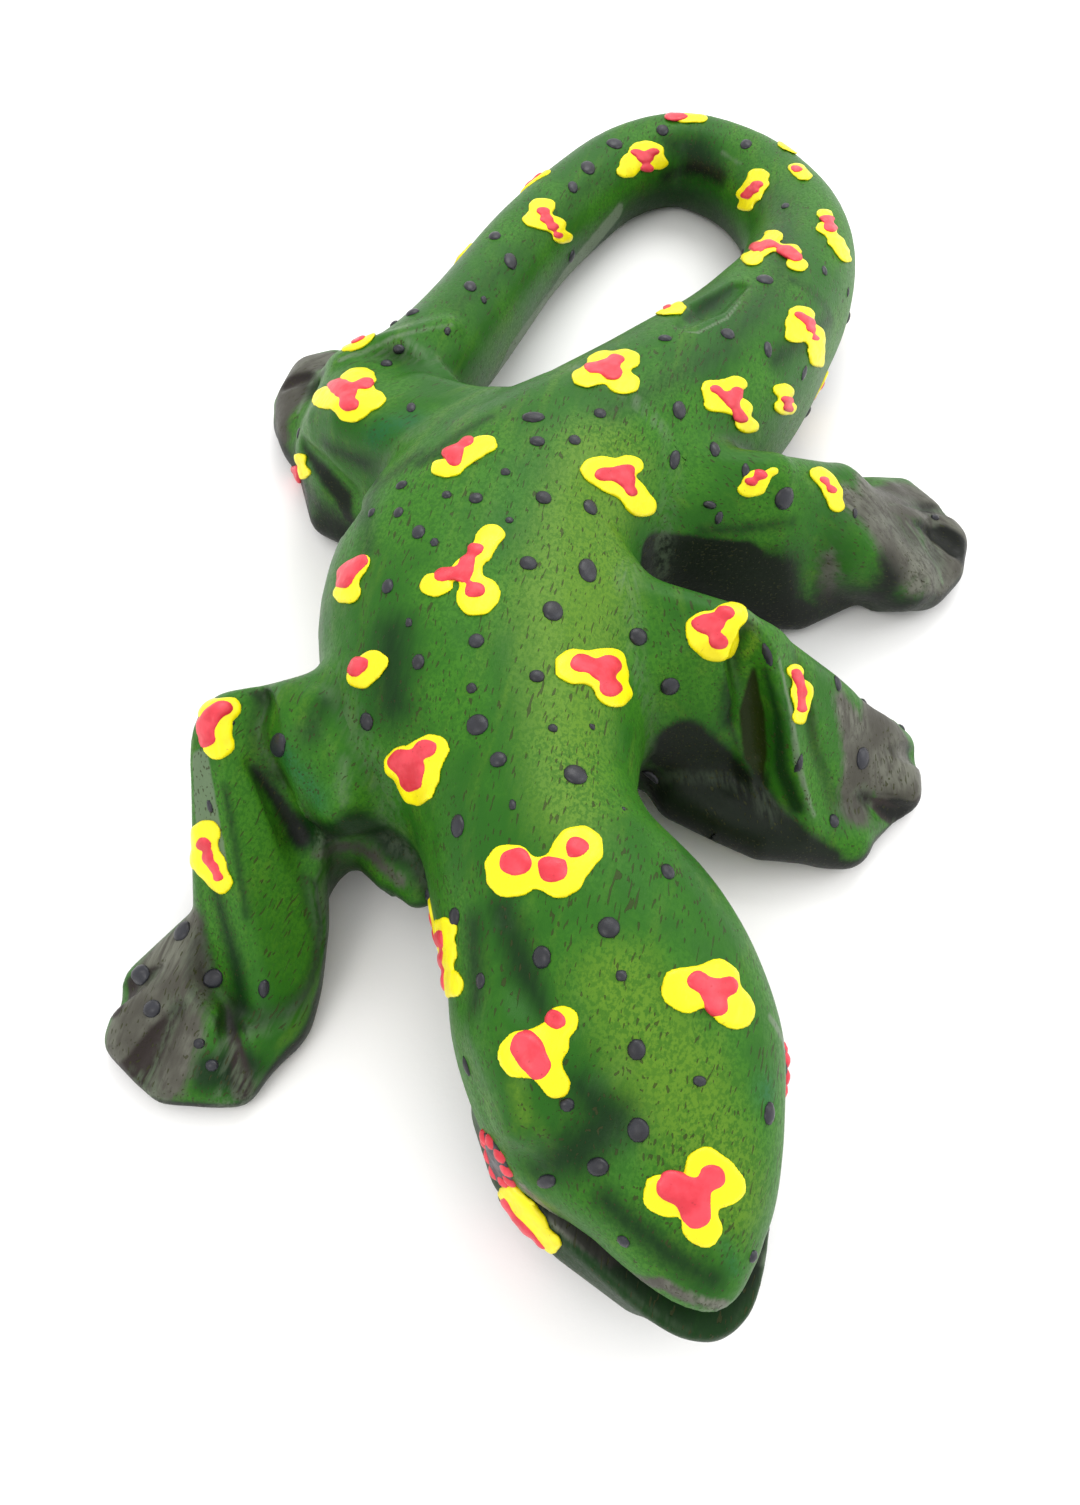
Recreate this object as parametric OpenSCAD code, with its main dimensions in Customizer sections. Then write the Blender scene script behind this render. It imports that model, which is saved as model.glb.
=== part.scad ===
/* [Body] */
// Longest half-width of the trunk, behind the shoulders
trunk_half_width = 21.5; // [20:0.5:23]
// Height of the back above the table
back_height = 35.5; // [34:0.5:38]
// Gap between the belly and the table
belly_gap = 4; // [3:0.5:6]

/* [Mouth] */
// Depth of the mouth slit behind the lip
mouth_depth = 12; // [8:0.5:14]
// Opening of the mouth slit at the lip
mouth_gap = 1.6; // [1:0.1:2.2]

/* [Feet] */
// Width of the carved grooves between the toes
toe_groove_width = 4; // [2.5:0.5:5]
// Depth of the toe grooves below the foot's top
toe_groove_depth = 2.4; // [1:0.2:3]

/* [Pegs] */
// Diameter of the dowel that holds a leg
leg_peg_d = 6; // [5:0.5:6.5]
// Length of the dowel that holds a leg
leg_peg_length = 18; // [14:1:20]
// Diameter of the dowel that holds the tail
tail_peg_d = 8; // [6:0.5:9]
// Length of the dowel that holds the tail
tail_peg_length = 24; // [18:1:26]
// Diameter of the small pin at the tail's tip
tip_peg_d = 3; // [2:0.5:4]
// Length of the small pin at the tail's tip
tip_peg_length = 12; // [10:1:14]
// Gap round a dowel, which the glue fills
glue_gap = 0.1; // [0.05:0.05:0.2]

/* [Hidden] */

// The lizard faces -Y with its back up, so its left side is at +X. The table is z = 0.
ring_points = 32;
rings_per_station = 4;
corner_facets = 16;
big = 400;
// Brings the origin under the middle of the whole figure
to_middle = [0, -1.3, 0];
green = [0.18, 0.42, 0.10];
raw_wood = [0.80, 0.68, 0.48];

// Stations along head, trunk and tail: [x, y, half width, bottom, widest height, top, squareness]
trunk_stations = [
    [11.3, -106.7, 1.2, 8.5, 12, 15.5, 2.2],
    [10.9, -105.5, 3.8, 7.4, 12, 17.6, 2.4],
    [10, -102.8, 6.4, 6.4, 12.3, 20, 2.5],
    [8.5, -98.3, 9.4, 5.4, 12.8, 22.8, 2.5],
    [6.4, -91.8, 13.1, 5, 14.5, 26.5, 2.5],
    [4.1, -85.2, 16.2, 5, 15.5, 29.6, 2.5],
    [1.5, -77.6, 17.1, 5, 16.3, 32, 2.5],
    [-1.2, -70, 16.4, 5.5, 17, 33, 2.4],
    [-5.4, -61, 13.8, 6, 18, 33.5, 2.3],
    [-7.8, -53, 13.2, 6, 18, 33.5, 2.3],
    [-9.5, -45, 16, 5.5, 18, 34, 2.3],
    [-12.5, -35, 20, belly_gap, 18, back_height - 0.7, 2.4],
    [-13.6, -23, trunk_half_width, belly_gap, 18, back_height, 2.4],
    [-11.5, -11, trunk_half_width - 1.5, belly_gap, 18, back_height, 2.4],
    [-4.5, -1.5, trunk_half_width - 4.5, belly_gap, 18, back_height - 0.5, 2.4],
    [3.2, 6, 15.8, 3, 18, back_height - 1.5, 2.3]
];
tail_stations = [
    [10.5, 13.5, 15, 2.5, 17.5, back_height - 2.5, 2.3],
    [17.2, 21.5, 14.2, 2, 17, 31.5, 2.3],
    [23.4, 30, 13, 1.6, 16, 29.5, 2.3],
    [29.6, 41, 11.6, 1.2, 14.5, 27, 2.3],
    [35.4, 53, 10.4, 1, 13, 24.5, 2.3],
    [38.8, 67, 9.4, 0.6, 11.5, 22, 2.2],
    [38, 81, 8.6, 0, 10, 19.5, 2.2],
    [32, 95, 7.8, -0.4, 9, 17.5, 2.2],
    [21, 103.2, 7.2, -0.6, 8.5, 16.4, 2.2],
    [9.4, 98.6, 7.1, -0.4, 8.5, 16.4, 2.2],
    [-0.4, 85.6, 7.2, 0, 9.5, 17.2, 2.2],
    [-8.6, 71, 7.2, 0.5, 10.5, 18.6, 2.2],
    [-14.6, 56, 7.3, 1.5, 12, 20.5, 2.2],
    [-19.2, 43.5, 7.4, 3, 14, 22.5, 2.2],
    [-23.4, 33, 7.6, 5, 16, 24.6, 2.2],
    [-27.4, 25.4, 7.8, 7, 17.5, 26, 2.2]
];
spine = concat(trunk_stations, tail_stations);
tail_joint = len(trunk_stations) - 1;
tail_end = len(spine) - 1;

// Seats, where a limb's flat face meets the body: [x, y, z, direction of the limb in degrees]
right_foreleg_seat = [-22, -41, 17, 203];
left_foreleg_seat = [4, -29, 17, 352];
right_hind_leg_seat = [-18, 3, 12, 150];
left_hind_leg_seat = [9, -5, 12, 10];
tail_seat = [spine[tail_joint].x, spine[tail_joint].y, 22, heading(tail_joint)];
tip_seat = [spine[tail_end].x, spine[tail_end].y, 17.5, heading(tail_end)];

// Corners of the carved blocks of each limb: [x, y, z, corner radius]
right_upper_arm = [
    [-18, -36, 24, 4], [-18, -47, 20, 4], [-18, -38, 9, 4], [-20, -46, 9, 4],
    [-43, -41.5, 23.5, 3.5], [-30, -49, 16, 3], [-40, -45, 6, 4]
];
right_forearm = [
    [-43.2, -42, 23.2, 3.4], [-46, -43, 15, 3], [-43, -42, 5, 4], [-36, -50, 14, 3],
    [-42, -60, 13, 3], [-46, -57, 8, 3], [-38, -66, 4, 3], [-37, -54, 4, 3]
];
right_fore_foot = [
    [-54.5, -66, 2.4, 3], [-55.5, -73, 2.4, 3], [-50, -78, 2.4, 3], [-42, -78.5, 2.4, 3],
    [-39, -72, 2.4, 3], [-47, -60, 6, 3], [-41, -63, 9, 3]
];
left_upper_arm = [
    [1, -24, 26, 4], [1, -35, 21, 4], [1, -24, 8, 4], [2, -35, 8, 4],
    [17, -31, 28, 3], [15, -36, 18, 3], [18, -38, 5, 4], [20, -29, 5, 4]
];
left_forearm = [
    [17.4, -31.3, 27.7, 3], [22, -37, 20, 3], [25.5, -43.5, 11, 3], [30, -31, 15, 3],
    [37, -32, 8, 3], [21, -41, 3, 3], [30, -44.5, 3, 3], [37, -32, 3, 3]
];
left_fore_foot = [
    [42, -31.5, 3, 3], [42, -36.5, 2.4, 3], [36.5, -43, 2.4, 3], [30.5, -45.3, 2.4, 3],
    [32, -38, 9, 3], [36, -32, 9, 3], [32, -34, 2.4, 3]
];
right_thigh = [
    [-15, -2, 25, 4], [-12, 9, 25, 4], [-15, -2, 8, 4], [-12, 9, 8, 4],
    [-33, 10, 24.5, 3.5], [-37.5, 14, 21, 3], [-39, 12, 4, 3], [-24, 16, 23, 4]
];
right_shank = [
    [-33, 13, 24, 3.5], [-37.8, 14.6, 20.6, 2.9], [-41, 17, 12, 3], [-39.4, 12.6, 4.3, 2.8],
    [-34.5, 25, 20, 4], [-21.5, 20, 20.5, 4], [-22, 20, 9, 4], [-40, 30, 7, 4],
    [-44, 31, 3, 3], [-30, 27, 4, 3]
];
right_hind_foot = [
    [-47.5, 33, 2.4, 3], [-48.8, 39, 2.4, 3], [-46, 44, 2.8, 3], [-41.5, 45, 2.8, 3],
    [-38, 38, 2.4, 3], [-39, 30, 8, 3], [-40, 38, 5, 3]
];
left_thigh = [
    [5, -1, 25, 4], [5, -8, 22, 4], [5, -8, 8, 4], [5, 2, 8, 4],
    [25, -2, 25, 3.5], [26, -6, 19, 3], [30, -7.5, 4, 3], [28, 5, 5, 4]
];
left_shank = [
    [25.8, -1.6, 24.2, 3.4], [27.2, -5.4, 18.6, 3.1], [31.4, -6.8, 3.3, 3.2], [40, -1, 10, 3],
    [40, -2.2, 3.1, 2.9], [36, 5, 17, 3], [40, 9, 5, 3], [29, 4.4, 5.4, 3.8]
];
left_hind_foot = [
    [44, -2.5, 2.4, 3], [52, 0.5, 2.4, 3], [55.8, 6, 2.6, 3], [51, 10, 4, 3],
    [46, 11, 8, 3], [40, 6, 10, 3]
];

// Smooth curve through a table's rows, with t counting rows
function along(t) =
    let (i = min(floor(t), len(spine) - 2))
    let (u = t - i)
    let (a = spine[max(i - 1, 0)])
    let (b = spine[i])
    let (c = spine[i + 1])
    let (d = spine[min(i + 2, len(spine) - 1)])
    (2 * b + (c - a) * u + (2 * a - 5 * b + 4 * c - d) * u * u + (3 * b - a - 3 * c + d) * u * u * u) / 2;

// Direction of the spine seen from above, in degrees
function heading(t) =
    let (step = 0.02)
    let (near = along(max(t - step, 0)))
    let (far = along(min(t + step, len(spine) - 1)))
    atan2(far.y - near.y, far.x - near.x);

function swell(value, power) = sign(value) * pow(abs(value), 2 / power);

// One upright ring of points round the spine
function ring(t) =
    let (s = along(t))
    let (across = heading(t) - 90)
    [for (i = [0 : ring_points - 1])
        let (angle = 360 * i / ring_points)
        let (side = s[2] * swell(cos(angle), s[6]))
        let (reach = sin(angle) > 0 ? s[5] - s[4] : s[4] - s[3])
        [s.x + side * cos(across), s.y + side * sin(across), max(s[4] + reach * swell(sin(angle), s[6]), 0)]
    ];

function middle(points) = [for (axis = [0 : 2]) sum_of([for (p = points) p[axis]]) / len(points)];
function sum_of(list, i = 0) = i < len(list) ? list[i] + sum_of(list, i + 1) : 0;

// Closed body lofted along the spine from row `from` to row `to`
module spine_loft(from, to) {
    count = (to - from) * rings_per_station;
    rings = [for (k = [0 : count]) ring(from + (to - from) * k / count)];
    points = concat([for (r = rings) each r], [middle(rings[0]), middle(rings[count])]);
    first = len(points) - 2;
    last = len(points) - 1;
    faces = concat(
        [for (k = [0 : count - 1], i = [0 : ring_points - 1])
            let (a = k * ring_points + i)
            let (b = k * ring_points + (i + 1) % ring_points)
            each [[a, b, b + ring_points], [a, b + ring_points, a + ring_points]]],
        [for (i = [0 : ring_points - 1]) [first, (i + 1) % ring_points, i]],
        [for (i = [0 : ring_points - 1])
            let (base = count * ring_points)
            [last, base + i, base + (i + 1) % ring_points]]
    );
    polyhedron(points = points, faces = faces);
}

// Block with rounded corners; each corner is [x, y, z, radius]
module carved_block(corners) {
    hull() {
        for (c = corners) {
            translate([c.x, c.y, c.z]) sphere(r = c[3], $fn = corner_facets);
        }
    }
}

// Everything on the far side of a seat, as seen from the body
module beyond(seat) {
    translate([seat.x, seat.y, 0])
        rotate([0, 0, seat[3]])
            translate([0, -big / 2, -big / 2])
                cube(big);
}

// Everything on the near side of a seat
module before(seat) {
    beyond([seat.x, seat.y, seat.z, seat[3] + 180]);
}

// Round bar centred on a seat and square to it
module peg(seat, diameter, length) {
    translate([seat.x, seat.y, seat.z])
        rotate([0, 90, seat[3]])
            cylinder(h = length, d = diameter, center = true, $fn = 48);
}

// Hole for a peg, with its glue gap
module peg_hole(seat, diameter, length) {
    peg(seat, diameter + 2 * glue_gap, length + 1);
}

module leg_peg(seat) {
    color(raw_wood) translate(to_middle) peg(seat, leg_peg_d, leg_peg_length);
}

module below_table() {
    translate([-big / 2, -big / 2, -big]) cube(big);
}

// V-shaped groove that runs outwards from its apex and falls towards the toes: [x, y, z, direction]
module toe_groove(apex, length, fall) {
    translate([apex.x, apex.y, apex.z])
        rotate([0, fall, apex[3]])
            rotate([90, 0, 90])
                linear_extrude(height = length)
                    polygon([
                        [0, -toe_groove_depth],
                        [toe_groove_width / 2, 8],
                        [-toe_groove_width / 2, 8]
                    ]);
}

// Wedge cut between the lips, from the front towards the corners of the mouth
module mouth_slit() {
    lip_front = 107;
    lip_height = 12.5;
    overshoot = 5;
    wedge_width = 60;
    translate([wedge_width / 2 + trunk_stations[2].x, 0, 0])
        rotate([90, 0, -90])
            linear_extrude(height = wedge_width)
                polygon([
                    [lip_front + overshoot, lip_height - mouth_gap],
                    [lip_front + overshoot, lip_height + mouth_gap],
                    [lip_front - mouth_depth, lip_height + 0.8]
                ]);
}

// The part of a limb's root that is let into the body
module socket(seat, corners) {
    intersection() {
        carved_block(corners);
        beyond(seat);
    }
}

module body() {
    color(green) translate(to_middle) difference() {
        spine_loft(0, tail_joint);
        socket(right_foreleg_seat, right_upper_arm);
        socket(left_foreleg_seat, left_upper_arm);
        socket(right_hind_leg_seat, right_thigh);
        socket(left_hind_leg_seat, left_thigh);
        mouth_slit();
        peg_hole(right_foreleg_seat, leg_peg_d, leg_peg_length);
        peg_hole(left_foreleg_seat, leg_peg_d, leg_peg_length);
        peg_hole(right_hind_leg_seat, leg_peg_d, leg_peg_length);
        peg_hole(left_hind_leg_seat, leg_peg_d, leg_peg_length);
        peg_hole(tail_seat, tail_peg_d, tail_peg_length);
    }
}

module tail() {
    color(green) translate(to_middle) difference() {
        spine_loft(tail_joint, tail_end);
        peg_hole(tail_seat, tail_peg_d, tail_peg_length);
        peg_hole(tip_seat, tip_peg_d, tip_peg_length);
    }
}

module right_foreleg() {
    color(green) translate(to_middle) difference() {
        union() {
            carved_block(right_upper_arm);
            carved_block(right_forearm);
            carved_block(right_fore_foot);
        }
        before(right_foreleg_seat);
        below_table();
        peg_hole(right_foreleg_seat, leg_peg_d, leg_peg_length);
        toe_groove([-51.5, -66.5, 7, 195], 14, 15);
        toe_groove([-48.4, -70.4, 7, 250], 16, 15);
        toe_groove([-43, -71, 6.5, 275], 14, 15);
    }
}

module left_foreleg() {
    color(green) translate(to_middle) difference() {
        union() {
            carved_block(left_upper_arm);
            carved_block(left_forearm);
            carved_block(left_fore_foot);
        }
        before(left_foreleg_seat);
        below_table();
        peg_hole(left_foreleg_seat, leg_peg_d, leg_peg_length);
        toe_groove([39, -34.5, 7.5, 345], 12, 20);
        toe_groove([34.5, -41, 7.5, 320], 12, 20);
    }
}

module right_hind_leg() {
    color(green) translate(to_middle) difference() {
        union() {
            difference() {
                union() {
                    carved_block(right_thigh);
                    carved_block(right_shank);
                }
                before(tip_seat);
            }
            carved_block(right_hind_foot);
        }
        before(right_hind_leg_seat);
        below_table();
        peg_hole(right_hind_leg_seat, leg_peg_d, leg_peg_length);
        peg_hole(tip_seat, tip_peg_d, tip_peg_length);
        toe_groove([-44, 40, 6, 75], 12, 20);
        toe_groove([-46, 37, 6, 140], 12, 20);
    }
}

module left_hind_leg() {
    color(green) translate(to_middle) difference() {
        union() {
            carved_block(left_thigh);
            carved_block(left_shank);
            carved_block(left_hind_foot);
        }
        before(left_hind_leg_seat);
        below_table();
        peg_hole(left_hind_leg_seat, leg_peg_d, leg_peg_length);
        toe_groove([46, 4, 9, 330], 16, 20);
        toe_groove([46.5, 7, 9.5, 15], 14, 20);
    }
}

module right_foreleg_peg() { leg_peg(right_foreleg_seat); }
module left_foreleg_peg() { leg_peg(left_foreleg_seat); }
module right_hind_leg_peg() { leg_peg(right_hind_leg_seat); }
module left_hind_leg_peg() { leg_peg(left_hind_leg_seat); }

module tail_peg() {
    color(raw_wood) translate(to_middle) peg(tail_seat, tail_peg_d, tail_peg_length);
}

module tail_tip_peg() {
    color(raw_wood) translate(to_middle) peg(tip_seat, tip_peg_d, tip_peg_length);
}

body();
tail();
right_foreleg();
left_foreleg();
right_hind_leg();
left_hind_leg();
right_foreleg_peg();
left_foreleg_peg();
right_hind_leg_peg();
left_hind_leg_peg();
tail_peg();
tail_tip_peg();
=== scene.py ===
import math

import bpy
import numpy as np
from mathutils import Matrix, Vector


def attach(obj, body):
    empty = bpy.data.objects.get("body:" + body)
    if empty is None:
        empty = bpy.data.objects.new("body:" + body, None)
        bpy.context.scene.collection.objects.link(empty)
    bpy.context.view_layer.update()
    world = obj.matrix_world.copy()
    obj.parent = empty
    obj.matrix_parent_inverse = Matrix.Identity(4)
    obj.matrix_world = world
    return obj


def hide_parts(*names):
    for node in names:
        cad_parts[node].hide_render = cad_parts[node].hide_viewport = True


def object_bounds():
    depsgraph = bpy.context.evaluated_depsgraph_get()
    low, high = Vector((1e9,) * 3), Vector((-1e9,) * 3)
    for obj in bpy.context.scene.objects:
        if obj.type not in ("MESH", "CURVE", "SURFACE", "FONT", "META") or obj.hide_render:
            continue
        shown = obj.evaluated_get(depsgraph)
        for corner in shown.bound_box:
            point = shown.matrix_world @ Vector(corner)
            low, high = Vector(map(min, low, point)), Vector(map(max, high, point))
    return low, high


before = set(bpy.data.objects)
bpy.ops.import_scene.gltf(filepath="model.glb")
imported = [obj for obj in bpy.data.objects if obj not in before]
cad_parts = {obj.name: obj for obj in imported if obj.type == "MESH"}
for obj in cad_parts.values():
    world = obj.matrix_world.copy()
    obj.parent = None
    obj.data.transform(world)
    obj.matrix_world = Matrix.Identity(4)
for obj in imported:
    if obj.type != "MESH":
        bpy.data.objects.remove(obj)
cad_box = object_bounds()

import openvdb
from mathutils import Vector

# Lengths are in millimetres while shapes are worked out, and become metres when a mesh is made.
# The lizard faces -Y with its back up, so its left side is at +X.
METRE = 0.001

# The carved pieces, and the direction of the grain in each in degrees from the body's length
GRAIN_TURN = {
    "body": 14, "tail": 14, "right_foreleg": 20, "left_foreleg": -10,
    "right_hind_leg": 50, "left_hind_leg": -60
}
WOOD_NODES = list(GRAIN_TURN)
LIMB_NODES = WOOD_NODES[2:]
PEG_NODES = [name + "_peg" for name in LIMB_NODES + ["tail", "tail_tip"]]


# ---------------------------------------------------------------- camera and studio

# The camera's place, its angle below level in degrees, and the widths of its sensor and lens
EYE = np.array([-6.5, -129.3, 145.0])
LOOK_DOWN = 56
SENSOR = 36
LENS = 29.9
NEAREST_SEEN = 10
AIR_LIGHT = 1.2


def make_camera():
    data = bpy.data.cameras.new("camera")
    data.sensor_width = SENSOR
    data.lens = LENS
    data.clip_start = NEAREST_SEEN * METRE
    camera = bpy.data.objects.new("camera", data)
    camera.location = EYE * METRE
    camera.rotation_euler = (math.radians(90 - LOOK_DOWN), 0, 0)
    bpy.context.collection.objects.link(camera)
    bpy.context.scene.camera = camera


def make_softbox(name, place, size, power, tint=(1, 1, 1)):
    """A rectangular lamp aimed at the figure; place and size in metres, power in watts."""
    data = bpy.data.lights.new(name, "AREA")
    data.shape = "RECTANGLE"
    data.size, data.size_y = size
    data.energy = power
    data.color = tint
    light = bpy.data.objects.new(name, data)
    light.location = place
    light.rotation_euler = (-Vector(place)).to_track_quat("-Z", "Y").to_euler()
    bpy.context.collection.objects.link(light)


def make_studio():
    scene = bpy.context.scene
    scene.view_settings.view_transform = "Standard"
    world = bpy.data.worlds.new("studio_air")
    world.use_nodes = True
    air = world.node_tree.nodes["Background"]
    air.inputs["Color"].default_value = (1, 1, 1, 1)
    air.inputs["Strength"].default_value = AIR_LIGHT
    scene.world = world
    make_softbox("back_softbox", (0.12, 0.40, 0.55), (0.45, 0.35), 1.8)
    make_softbox("side_softbox", (0.55, 0.05, 0.40), (0.35, 0.45), 1.0)
    make_softbox("front_fill", (-0.30, -0.35, 0.60), (0.3, 0.3), 0.9, (1.0, 0.97, 0.93))
    bpy.ops.mesh.primitive_plane_add(size=6)
    floor = bpy.context.object
    floor.name = "floor"
    floor.data.materials.append(floor_material())


# ---------------------------------------------------------------- node materials

class Nodes:
    """Adds and links the nodes of one material."""

    def __init__(self, name):
        self.material = bpy.data.materials.new(name)
        self.material.use_nodes = True
        self.tree = self.material.node_tree
        self.shader = self.tree.nodes["Principled BSDF"]

    def add(self, kind, inputs=(), **settings):
        node = self.tree.nodes.new("ShaderNode" + kind)
        for key, value in settings.items():
            setattr(node, key, value)
        for key, value in dict(inputs).items():
            self.feed(node, key, value)
        return node

    def feed(self, node, key, value):
        if isinstance(value, bpy.types.NodeSocket):
            self.tree.links.new(value, node.inputs[key])
        else:
            node.inputs[key].default_value = value

    def attribute(self, name):
        return self.add("Attribute", attribute_name=name).outputs["Fac"]

    def place(self, scale, turn=0):
        """Object coordinates turned about Z by `turn` degrees, then scaled; in metres before scaling."""
        spot = self.add("TexCoord").outputs["Object"]
        turned = self.add("Mapping", {"Vector": spot, "Rotation": (0, 0, math.radians(turn))})
        return self.add("Mapping", {"Vector": turned.outputs[0], "Scale": scale}).outputs[0]

    def noise(self, where, detail, roughness=0.5, distortion=0.0):
        """Noise whose scale is already in its coordinates."""
        inputs = {"Vector": where, "Scale": 1.0, "Detail": detail,
                  "Roughness": roughness, "Distortion": distortion}
        return self.add("TexNoise", inputs).outputs["Fac"]

    def between(self, value, low, high, to_low=0.0, to_high=1.0):
        """A smooth step from to_low to to_high as the value goes from low to high."""
        inputs = {"Value": value, "From Min": low, "From Max": high,
                  "To Min": to_low, "To Max": to_high}
        return self.add("MapRange", inputs, interpolation_type="SMOOTHSTEP").outputs["Result"]

    def math(self, operation, first, second):
        node = self.add("Math", operation=operation)
        self.feed(node, 0, first)
        self.feed(node, 1, second)
        return node.outputs[0]

    def mix(self, amount, first, second):
        node = self.add("Mix", data_type="RGBA")
        self.feed(node, 0, amount)
        self.feed(node, 6, first)
        self.feed(node, 7, second)
        return node.outputs[2]

    def bump(self, height, distance, strength, under=None):
        inputs = {"Height": height, "Distance": distance, "Strength": strength}
        node = self.add("Bump", inputs)
        if under is not None:
            self.feed(node, "Normal", under)
        return node.outputs[0]

    def shade(self, **sockets):
        """Sets the shader's sockets; a name's underscores stand for spaces."""
        for key, value in sockets.items():
            self.feed(self.shader, key.replace("_", " "), value)


def floor_material():
    n = Nodes("white_table")
    cloud = n.noise(n.place((6, 6, 6)), detail=3)
    paper = n.noise(n.place((900, 900, 900)), detail=2)
    colour = n.mix(n.between(cloud, 0.3, 0.7), (0.93, 0.925, 0.92, 1), (0.96, 0.955, 0.95, 1))
    n.shade(Base_Color=colour, Roughness=0.7, Normal=n.bump(paper, 0.0001, 0.2))
    return n.material


def painted_wood_material(name, grain_turn):
    """Green stained and airbrushed wood under satin lacquer, with painted highlights and shade from its
    masks, and its grain turned by some degrees.
    """
    n = Nodes(name)
    strokes = n.noise(n.place((1500, 130, 900), grain_turn), detail=3, roughness=0.6)
    streaks = n.noise(n.place((420, 40, 300), grain_turn), detail=3)
    speckle = n.noise(n.place((2300, 1700, 2300), grain_turn), detail=2, roughness=0.7)
    clouds = n.noise(n.place((75, 60, 75)), detail=4, roughness=0.6)

    lime = (0.090, 0.200, 0.014, 1)
    grass = (0.038, 0.158, 0.009, 1)
    leaf = (0.016, 0.098, 0.006, 1)
    deep = (0.0020, 0.020, 0.0025, 1)
    sea = (0.012, 0.105, 0.036, 1)
    ash = (0.145, 0.150, 0.118, 1)
    clay = (0.058, 0.055, 0.044, 1)
    earth = (0.024, 0.018, 0.016, 1)
    olive = (0.012, 0.021, 0.002, 1)
    black = (0.0055, 0.0070, 0.0055, 1)
    pale = (0.125, 0.175, 0.105, 1)
    pore = (0.028, 0.032, 0.008, 1)

    def spray(mask, colour, low, high, fuzz, cover=1.0):
        """Lays a colour over the tone where its mask is, with an edge that follows the grain."""
        ragged = n.math("MULTIPLY", n.math("SUBTRACT", strokes, 0.5), fuzz)
        amount = n.between(n.math("ADD", n.attribute(mask), ragged), low, high, 0, cover)
        return n.mix(amount, tone, colour)

    tone = n.mix(n.between(clouds, 0.36, 0.64), leaf, grass)
    tone = n.mix(n.between(streaks, 0.50, 0.75, 0, 0.4), tone, lime)
    # lime: also a painted highlight on the brow bulge
    tone = spray("lime", lime, 0.15, 1.0, 0.3)
    # teal: also painted bluish reflections on the head
    tone = spray("teal", sea, 0.1, 1.0, 0.4, 0.8)
    mottle = n.math("MULTIPLY", n.between(speckle, 0.42, 0.60), n.between(clouds, 0.3, 0.6, 0.3, 0.65))
    tone = n.mix(mottle, tone, leaf)
    # dark: airbrushed deep green, also painted shade in dips, valleys and under the upper arm
    tone = spray("dark", deep, 0.10, 0.95, 0.35, 0.94)

    sanded = n.mix(n.between(strokes, 0.30, 0.60), clay, ash)
    sanded = n.mix(n.between(clouds, 0.35, 0.60), sanded, clay)
    tone = spray("grey", sanded, 0.25, 0.75, 0.5)
    # pale: pale paint, also painted highlights and sheen on ridges, edges and the tail
    tone = spray("pale", pale, 0.25, 0.75, 0.4, 0.85)
    tone = spray("brown", earth, 0.2, 0.8, 0.3)
    tone = spray("olive", olive, 0.2, 0.8, 0.3)
    # black paint, and painted shade in deep grooves and recesses
    tone = spray("soot", black, 0.2, 0.8, 0.35, 0.96)

    # paler sharp edges: worn lacquer and painted highlight
    edge = n.math("MULTIPLY", n.attribute("wear_and_edge_highlight"), n.between(strokes, 0.35, 0.65, 0, 0.5))
    tone = n.mix(edge, tone, pale)
    # painted shade: hollows darkened towards black
    tone = n.mix(n.math("MULTIPLY", n.attribute("hollow_shade"), 0.75), tone, black)

    vessels = n.noise(n.place((3600, 640, 3600), grain_turn), detail=0)
    patches = n.noise(n.place((180, 140, 180)), detail=2)
    pores = n.between(n.math("ADD", vessels, n.between(patches, 0.35, 0.7, -0.02, 0.05)), 0.715, 0.755)
    tone = n.mix(n.math("MULTIPLY", pores, 0.75), tone, pore)

    relief = n.bump(strokes, 0.00012, 0.35)
    relief = n.bump(speckle, 0.00006, 0.40, relief)
    relief = n.bump(n.math("MULTIPLY", pores, -1), 0.00012, 0.6, relief)
    gloss = n.between(n.math("ADD", speckle, clouds), 0.7, 1.3, 0.36, 0.52)
    n.shade(Base_Color=tone, Roughness=gloss, Normal=relief, Specular_IOR_Level=0.14)
    return n.material


def paint_material(name, thin, thick, roughness):
    """Brushed-on acrylic paint, slightly uneven in cover."""
    n = Nodes(name)
    cover = n.noise(n.place((420, 420, 420)), detail=3)
    brush = n.noise(n.place((1500, 500, 1500), 25), detail=2)
    pits = n.noise(n.place((1900, 1900, 1900)), detail=1)
    colour = n.mix(n.between(cover, 0.35, 0.65), thin, thick)
    pit_colour = (*(0.45 * channel for channel in thin[:3]), 1)
    colour = n.mix(n.between(pits, 0.70, 0.78, 0, 0.45), colour, pit_colour)
    relief = n.bump(brush, 0.00008, 0.5)
    relief = n.bump(pits, 0.00006, 0.3, relief)
    n.shade(Base_Color=colour, Roughness=n.between(brush, 0.3, 0.7, roughness - 0.05, roughness + 0.1),
            Normal=relief, Specular_IOR_Level=0.4)
    return n.material


def bare_wood_material():
    """Pale dowel wood with fine straight grain."""
    n = Nodes("bare_wood")
    rings = n.noise(n.place((1200, 160, 1200)), detail=3, distortion=0.4)
    pores = n.noise(n.place((5000, 500, 5000)), detail=0)
    colour = n.mix(n.between(rings, 0.35, 0.65), (0.52, 0.36, 0.19, 1), (0.66, 0.50, 0.30, 1))
    colour = n.mix(n.between(pores, 0.66, 0.74, 0, 0.7), colour, (0.25, 0.15, 0.07, 1))
    n.shade(Base_Color=colour, Roughness=n.between(rings, 0.3, 0.7, 0.5, 0.7),
            Normal=n.bump(rings, 0.0001, 0.4))
    return n.material


# ---------------------------------------------------------------- distance fields on one grid

# The grid's spacing, its room round the figure, and how far from the wood its distances are true
VOXEL = 0.47
MARGIN = 4.0
BAND = 6.5

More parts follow.
